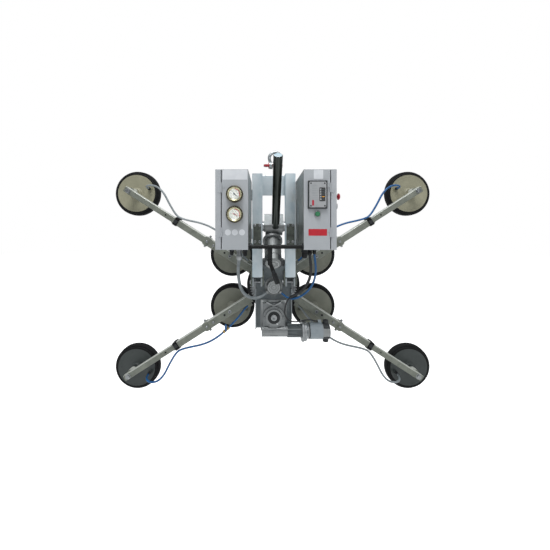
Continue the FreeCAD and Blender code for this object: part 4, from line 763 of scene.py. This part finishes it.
# Brush covers of the tilt motor: flatter caps on the same saddles.
FLAT_CAP = [(0, -12), (18, -12), (18, 1.6), (16.5, 2.4), (6, 2.4), (6, 1), (0, 1)]
form = bmesh.new()
for side in (1, -1):
    saddle(form, on_arm(WORM_X, TILT_BRUSH - SADDLE_BACK, -WORM_DROP), MOTOR_AXIS, (side, 0, 0), reach=54)
    base = on_arm(WORM_X + side * BRUSH_REACH, TILT_BRUSH, -WORM_DROP)
    turn_on(form, FLAT_CAP, base, (side, 0, 0), sides=36)
finished("tilt_brush_covers", form, "lifting_arm", black_moulding, edge=0)
# Motor end: a cover with a raised ring, four screws and a pressed centre.
END_RING = ring(28, 31, -0.5, 1)
END_BOSS = [(0, -0.5), (11, -0.5), (11, 1.2), (9, 2.2), (0, 2.2)]
END_SCREW, END_SCREWS, END_SCREW_R = [(0, -0.5), (3, -0.5), (3, 1.8), (2.4, 2.3), (0, 2.3)], 4, 22
form = bmesh.new()
base = on_arm(WORM_X, MOTOR_END, -WORM_DROP)
turn_on(form, END_RING, base, MOTOR_AXIS, sides=48, closed=True)
turn_on(form, END_BOSS, base, MOTOR_AXIS)
for step in range(END_SCREWS):
    turn = 2 * math.pi * (step + 0.5) / END_SCREWS
    at = on_arm(WORM_X + END_SCREW_R * math.cos(turn), MOTOR_END, END_SCREW_R * math.sin(turn) - WORM_DROP)
    turn_on(form, END_SCREW, at, MOTOR_AXIS, sides=6)
finished("tilt_motor_end_cover", form, "lifting_arm", dark_casting, edge=0)

# Shackle: a drop forged, hot dip galvanised bow with a red enamelled pin.
# The lifter hangs from the bow's top.
SPANGLE = 6


def spangle(tree):
    """Crystals of zinc, each with its own share."""
    where = add(tree, "ShaderNodeTexCoord").outputs["Object"]
    cells = add(tree, "ShaderNodeTexVoronoi", {"Vector": where, "Scale": 1 / MM / SPANGLE}).outputs["Color"]
    return add(tree, "ShaderNodeSeparateColor", {0: cells}).outputs[0]


# Hot dip galvanising: bright crystals of different greys under a soft metal shine.
galvanised = surface("hot_dip_galvanised_steel", "#9ea4a6",
                     [(spangle, "#c2c8ca"), ((14, 0.55, 0.8), "#868d90")],
                     gloss=(spangle, 0.28, 0.48), grain=(2.0, 0.12), Metallic=1.0)
# Red enamel on steel: glossy, chipped along the edges.
red_enamel = surface("red_enamel_on_steel", "#b5152a",
                     [((9, 0.5, 0.8), "#8f1022"), (lambda tree: worn_edges(tree, 0.56, 0.66), "#7d7a78")],
                     gloss=(5, 0.25, 0.42), grain=(1.6, 0.06), IOR=1.5, Coat_Weight=0.3, Coat_Roughness=0.15)
dressed("shackle_bow", "shackle", galvanised, edge=0.8)
dressed("shackle_pin", "shackle", red_enamel, edge=0.8)

# Rotor: the toothed slewing ring, the two hub plates with the manifold between them, and four square sockets
# in which the arms slide.
dressed("slewing_ring", "rotor", bright_steel, edge=0.5)
dressed("hub_front_plate", "rotor", black_coat, edge=1.2)
dressed("hub_back_plate", "rotor", machine_grey, edge=1.2)
dressed("manifold", "rotor", cast_aluminium)
# Drawn square tube, clear zinc: a dull grey metal with stains across it.
tube_zinc = surface("drawn_tube_clear_zinc", "#797d74",
                    [((50, 0.4, 0.75), "#8b8f84"), ((20, 0.58, 0.85), "#686c64")],
                    gloss=(7, 0.36, 0.52), grain=(2.2, 0.08), Metallic=0.2)
# The tubes' upper sides, painted pale as a highlight where light falls from above.
lit_top_zinc = surface("drawn_tube_clear_zinc_painted_highlight", "#c3c6be",
                      [((40, 0.4, 0.75), "#d6d8d1"), ((16, 0.6, 0.85), "#a9aca4")],
                      gloss=(7, 0.34, 0.5), grain=(2.2, 0.08), Metallic=0.2)
ARMS = {"upper_right": 32.6, "upper_left": 147.4, "lower_left": 212.6, "lower_right": 327.4}
HOSE_SIDE = {"upper_right": 1, "upper_left": -1, "lower_left": 1, "lower_right": -1}
UPPER_SIDE = 0.5
for name, degrees in ARMS.items():
    rising = math.radians(degrees)
    above = Vector((-math.sin(rising), 0, math.cos(rising))) * math.copysign(1, math.cos(rising))
    for node, body, corner in ((f"arm_socket_{name}", "rotor", 6), (f"arm_{name}", f"arm_{name}", 5)):
        # The sides that face up take the pale finish: a painted highlight.
        dressed(node, body, [tube_zinc, lit_top_zinc], facing=above, within=UPPER_SIDE,
                rolled=corner)


def arm_point(name, along, out, ahead):
    """A point given along an arm, out from it on its hose's side and ahead of the pad plates."""
    turn = math.radians(ARMS[name])
    out *= HOSE_SIDE[name]
    x, rise = along * math.cos(turn) - out * math.sin(turn), along * math.sin(turn) + out * math.cos(turn)
    return place(x, ahead, rise)


# Socket fixings: a hexagon bolt in each clamp collar with a set screw on either side of it, a bush at the
# inner pad's post and a black plug in the hole beside it.
SOCKET_FACE, COLLAR_FACE, COLLAR_ALONG, BOLT_ALONG, PLUG_ALONG, INNER_ALONG = 117, 120, 496, 447, 364, 324
SET_SCREW_OUT, TUBE_MIDDLE = 28, 92
POST_BUSH = [(4.2, -0.5), (11, -0.5), (11, 3.5), (9.5, 5), (4.2, 5)]
BUSH_PLUG, HOLE_PLUG = disc(4.3, 2), [(0, 0), (6.5, 0), (6.5, 1), (5, 2), (0, 2)]
form = bmesh.new()
for name in ARMS:
    for along, face in ((COLLAR_ALONG, COLLAR_FACE), (BOLT_ALONG, SOCKET_FACE)):
        hex_bolt(form, arm_point(name, along, 0, face), TOWARDS, across=13, height=9, washer=8)
    for side in (1, -1):
        outward = arm_point(name, 0, side, 0) - arm_point(name, 0, 0, 0)
        base = arm_point(name, COLLAR_ALONG, SET_SCREW_OUT * side, TUBE_MIDDLE)
        hex_bolt(form, base, outward, across=13, height=13, washer=9)
    post = arm_point(name, INNER_ALONG, 0, SOCKET_FACE)
    turn_on(form, POST_BUSH, post, TOWARDS, closed=True)
    turn_on(form, BUSH_PLUG, post, TOWARDS, finish=1)
    turn_on(form, HOLE_PLUG, arm_point(name, PLUG_ALONG, 0, SOCKET_FACE), TOWARDS, finish=1)
fixings = finished("socket_fixings", form, "rotor", [bright_steel, black_moulding],
                   edge=0.3)
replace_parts(fixings, "arm_clamp_bolts")
dressed("hose_straps", "rotor", rubber)
# Strap buckles: black moulded clips that close the straps, with the strap's free end under a bar. Each block
# has its two ends along the arm, out from it and ahead.
BUCKLE_BLOCKS = (((716, 740), (-11, 9), (117.3, 121)), ((720, 736), (-15, -9), (117.3, 119.5)),
                 ((719, 723), (-12, 10), (120.8, 122.5)), ((733, 737), (-12, 10), (120.8, 122.5)),
                 ((714.5, 741.5), (25.3, 27.5), (84, 100)))
BLOCK_SIDES = ((0, 1, 3, 2), (4, 6, 7, 5), (0, 4, 5, 1), (2, 3, 7, 6), (0, 2, 6, 4), (1, 5, 7, 3))
form = bmesh.new()
for name in ARMS:
    for alongs, outs, aheads in BUCKLE_BLOCKS:
        corners = [form.verts.new(arm_point(name, along, out, ahead))
                   for along in alongs for out in outs for ahead in aheads]
        for side in BLOCK_SIDES:
            form.faces.new([corners[at] for at in side])
finished("strap_buckles", form, "rotor", black_moulding, edge=0.7)

# Pads: pressed steel plates painted grey, the outer ones on ball joints, each with a thick moulded rubber
# seal whose lip rolls over the plate's edge and grips it.
# Plate enamel: grey green, half gloss, with wiped dust. The upper pads' plates are made lighter and yellower,
# a painted light, and the lower ones much darker, a painted shade.
PLATE_TONES_AND_PAINTED_LIGHT = {"inner": ("#7b7d71", "#85867a", "#717368"), "upper": ("#97957f", "#a3a089", "#8b8a76"),
               "lower": ("#393f3e", "#414746", "#333938")}
plate_enamel_and_painted_light = {name: surface(f"plate_enamel_and_painted_light_{name}_pads", base,
                              [((80, 0.4, 0.75), pale), ((22, 0.6, 0.85), dark)],
                              gloss=(12, 0.34, 0.5), grain=(6, 0.1), IOR=1.5)
                for name, (base, pale, dark) in PLATE_TONES_AND_PAINTED_LIGHT.items()}
LIP = [(125, -0.4), (125, 1.4), (127, 2.6), (132, 2.4), (136, -0.6), (138.5, -6), (135, -7), (134.4, -3.2),
       (131.6, 0.2)]
PORT_ALONG, PORT_OUT, OUTER_ALONG, ARM_FACE = 1027, 74, 1089, 110
PORT_NUT = ring(7, 11, 12, 19)
PORT_SLEEVE = [(6.6, 18.5), (8.6, 18.5), (8.6, 32), (7.6, 34), (6.6, 34)]
dressed("inner_pad_plates", "rotor", plate_enamel_and_painted_light["inner"])
dressed("inner_pad_seals", "rotor", rubber, edge=2.0)
form = bmesh.new()
for name in ARMS:
    turn_on(form, LIP, arm_point(name, INNER_ALONG, 0, 0), TOWARDS, sides=96, closed=True)
finished("inner_seal_lips", form, "rotor", rubber, edge=0)
for name in ARMS:
    # Upper pads take the lighter enamel and lower pads the darker: painted light and shade.
    dressed(f"pad_plate_{name}", f"pad_{name}", plate_enamel_and_painted_light[name[:5]])
    dressed(f"pad_seal_{name}", f"pad_{name}", rubber, edge=2.0)
    form = bmesh.new()
    turn_on(form, LIP, arm_point(name, OUTER_ALONG, 0, 0), TOWARDS, sides=96, closed=True)
    finished(f"seal_lip_{name}", form, f"pad_{name}", rubber, edge=0)
    # End bolt: a bright hexagon head that holds the ball joint's cup to the arm.
    form = bmesh.new()
    hex_bolt(form, arm_point(name, OUTER_ALONG, 0, ARM_FACE), TOWARDS, across=24, height=12, washer=16)
    finished(f"arm_end_bolt_{name}", form, f"arm_{name}", bright_steel)
    # Port: a black moulded nut and sleeve where the hose meets the plate.
    form = bmesh.new()
    port = arm_point(name, PORT_ALONG, PORT_OUT, 0)
    turn_on(form, PORT_NUT, port, TOWARDS, sides=6, closed=True)
    turn_on(form, PORT_SLEEVE, port, TOWARDS, closed=True)
    finished(f"port_nut_{name}", form, f"pad_{name}", black_moulding)

# Hoses: polyurethane vacuum tube along each arm from the hub to its pad's port, the larger suction hose from
# the left box to the union, and the black conduit, motor cable and blue hose on the right.
ARM_ROUTE = [(1027, 74, 20.8), (1027, 74.5, 62), (1012, 92, 96), (980, 114, 112), (932, 124, 120),
             (878, 108, 121), (818, 70, 118), (742, 32, 114), (700, 38, 113), (650, 55, 114), (595, 76, 116),
             (535, 90, 118), (470, 92, 118), (405, 84, 114), (340, 72, 106), (282, 56, 98), (240, 38, 94.5),
             (211.4, 34.8, 94)]
VACUUM_ROUTE = [(-195, 300, 232.7), (-195, 300, 198), (-203, 292, 128), (-202, 275, 61), (-192, 256, 6),
                (-171.5, 239, -33), (-144, 223, -56.5), (-109, 209, -65), (-73.8, 200.5, -57.7),
                (-45.4, 199, -35.5)]
CONDUIT_ROUTE = [(198, 296, 232.7), (198, 296, 200), (205, 292, 150), (208, 282, 98), (197, 265, 42),
                 (166, 248, -8), (128, 234, -38), (96, 228, -54)]
CABLE_ROUTE = [(96, 228, -54), (82, 231, -66), (70, 241, -88), (62, 250, -116), (62, 255, -148),
               (78, 255, -176), (108, 252, -190), (146, 247, -190), (184, 238, -184), (216, 226, -186),
               (241, 212.5, -198), (261.5, 205.5, -203)]
BLUE_ROUTE = [(222, 308, 232.7), (222, 308, 200), (230, 304, 150), (233, 296, 98), (222, 278, 36),
              (188, 258, -20), (142, 240, -54), (106, 224, -66), (76, 208, -58), (58, 200.5, -45.3),
              (45.4, 199, -35.5)]
ARM_HOSE_R, VACUUM_HOSE_R, CONDUIT_R, CABLE_R, TUBE_SIDES = 6, 9, 8, 4, 14
ARM_HOSE_SKIN = {"upper_right": "blue", "upper_left": "grey", "lower_left": "blue", "lower_right": "grey"}
# Each hose is cut at the point nearest SPLIT into a stretch along the arm and one to its pad.
SPLIT, SLIDE = (980, 114, 112), ((300, 0, 92), (960, 0, 92))
# Polyurethane tube: a glossy coloured skin, a little dusty along its length.
hose_skins = {name: surface(f"{name}_polyurethane_tube", base, [((25, 0.45, 0.8), shade)],
                            gloss=(8, 0.3, 0.48), grain=(2, 0.05), IOR=1.5, Coat_Weight=0.2,
                            Coat_Roughness=0.2)
              for name, base, shade in (("grey", "#8b9396", "#737b7f"), ("blue", "#125c97", "#0e4a7a"),
                                        ("black", "#191b1d", "#2a2d30"))}


def route_line(name, points):
    """A smooth line with the route's points as its control points."""
    curve = bpy.data.curves.new(name, "CURVE")
    curve.dimensions = "3D"
    curve.resolution_u = 10
    spline = curve.splines.new("NURBS")
    spline.points.add(len(points) - 1)
    for control, point in zip(spline.points, points):
        control.co = (*point, 1)
    spline.order_u = 3
    spline.use_endpoint_u = True
    line = bpy.data.objects.new(name, curve)
    scene.collection.objects.link(line)
    return line


def line_points(line):
    """The points of a line that has no bevel."""
    mesh = bpy.data.meshes.new_from_object(line)
    points = [vert.co.copy() for vert in mesh.vertices]
    bpy.data.meshes.remove(mesh)
    return points


def length_of(points):
    """The length of a line of points."""
    return sum((b - a).length for a, b in zip(points, points[1:]))


def tube_along(points, radius):
    """A closed round tube that follows a line of points."""
    form = bmesh.new()
    side = None
    rings = []
    for index, point in enumerate(points):
        ahead = (points[min(index + 1, len(points) - 1)] - points[max(index - 1, 0)]).normalized()
        side = ahead.orthogonal() if side is None else side - ahead * side.dot(ahead)
        side.normalize()
        other = ahead.cross(side)
        turns = [2 * math.pi * step / TUBE_SIDES for step in range(TUBE_SIDES)]
        spokes = [(side * math.cos(t) + other * math.sin(t)) * radius for t in turns]
        rings.append([form.verts.new(point + spoke) for spoke in spokes])
    for first, second in zip(rings, rings[1:]):
        for at in range(TUBE_SIDES):
            after = (at + 1) % TUBE_SIDES
            form.faces.new((first[at], first[after], second[after], second[at]))
    form.faces.new(rings[0][::-1])
    form.faces.new(rings[-1])
    return form


for name in ARMS:
    line = route_line(f"arm_hose_line_{name}", [arm_point(name, *point) for point in ARM_ROUTE])
    path = line_points(line)
    bpy.data.objects.remove(line)
    path.reverse()
    halfway = min(range(len(path)), key=lambda at: (path[at] - arm_point(name, *SPLIT)).length)
    start, end = [arm_point(name, *point) for point in SLIDE]
    for kind, stretch, bodies, ends in (
            ("arm", path[:halfway + 1], ("rotor", f"arm_{name}"), (start, end)),
            ("pad", path[halfway:], (f"arm_{name}", f"pad_{name}"), (path[halfway], path[-1]))):
        tube = finished(f"{kind}_hose_{name}", tube_along(stretch, ARM_HOSE_R * MM), None,
                        hose_skins[ARM_HOSE_SKIN[name]], edge=0)
        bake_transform(tube)
        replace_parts(tube, "arm_hoses")
# Shut-off valve in the lower left hose: a brass body with hexagon ends and a blue lever.
# Brass: warm yellow metal, tarnished brown in its corners.
brass = surface("tarnished_brass", "#b08d4a", [((8, 0.4, 0.75), "#7d6537"), (worn_edges, "#dcc489")],
                gloss=(4, 0.24, 0.42), grain=(1.4, 0.05), Metallic=1.0)
VALVE_ARM, VALVE_ENDS = "lower_left", ((383, 80.2, 111.5), (427, 86.8, 115.5))
VALVE_BORE, NUT_LENGTH, NUT_R, BODY_R, BREAK = 6.2, 12, 10.5, 8.5, 0.8
VALVE_STEM = [(0, 7.5), (5, 7.5), (5, 17), (3.6, 18), (0, 18)]
LEVER_HEIGHTS, LEVER_OUTLINE = (15.5, 18.5), ((-5, -5), (5, -5), (7, 30), (3, 40), (-5, 40), (-8, 30))
form = bmesh.new()
first, last = [arm_point(VALVE_ARM, *point) for point in VALVE_ENDS]
run = (last - first).length / MM
for start, end, radius, sides in ((0, NUT_LENGTH, NUT_R, 6), (NUT_LENGTH, run - NUT_LENGTH, BODY_R, 28),
                                  (run - NUT_LENGTH, run, NUT_R, 6)):
    profile = [(VALVE_BORE, start), (radius - BREAK, start), (radius, start + BREAK), (radius, end - BREAK),
               (radius - BREAK, end), (VALVE_BORE, end)]
    turn_on(form, profile, first, last - first, sides=sides, closed=True)
middle = (first + last) / 2
turn_on(form, VALVE_STEM, middle, TOWARDS)
under, over = [[form.verts.new(middle + Vector((x, -height, z)) * MM) for x, z in LEVER_OUTLINE]
               for height in LEVER_HEIGHTS]
rims = zip(under, under[1:] + under[:1], over[1:] + over[:1], over)
for corners in (under[::-1], over, *rims):
    form.faces.new(corners).material_index = 1
valve = finished("hose_valve", form, None, [brass, hose_skins["blue"]], edge=0.5)
start, end = [arm_point(VALVE_ARM, *point) for point in SLIDE]
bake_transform(valve)
for name, route, radius, skin, slot, node in (
        ("vacuum_hose_line", VACUUM_ROUTE, VACUUM_HOSE_R, "grey", "grey_hose", "vacuum_hose"),
        ("conduit_line", CONDUIT_ROUTE, CONDUIT_R, "black", "black_hose", "conduit_and_cable"),
        ("motor_cable_line", CABLE_ROUTE, CABLE_R, "black", "black_hose", "conduit_and_cable"),
        ("blue_hose_line", BLUE_ROUTE, ARM_HOSE_R, "blue", "black_hose", "conduit_and_cable")):
    hose = route_line(name, [place(*point) for point in route])
    length = length_of(line_points(hose))
    hose.data.bevel_depth = radius * MM
    hose.data.bevel_resolution = 5
    hose.data.use_fill_caps = True
    hose.data.materials.append(hose_skins[skin])
    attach(hose, "frame")
    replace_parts(hose, node)
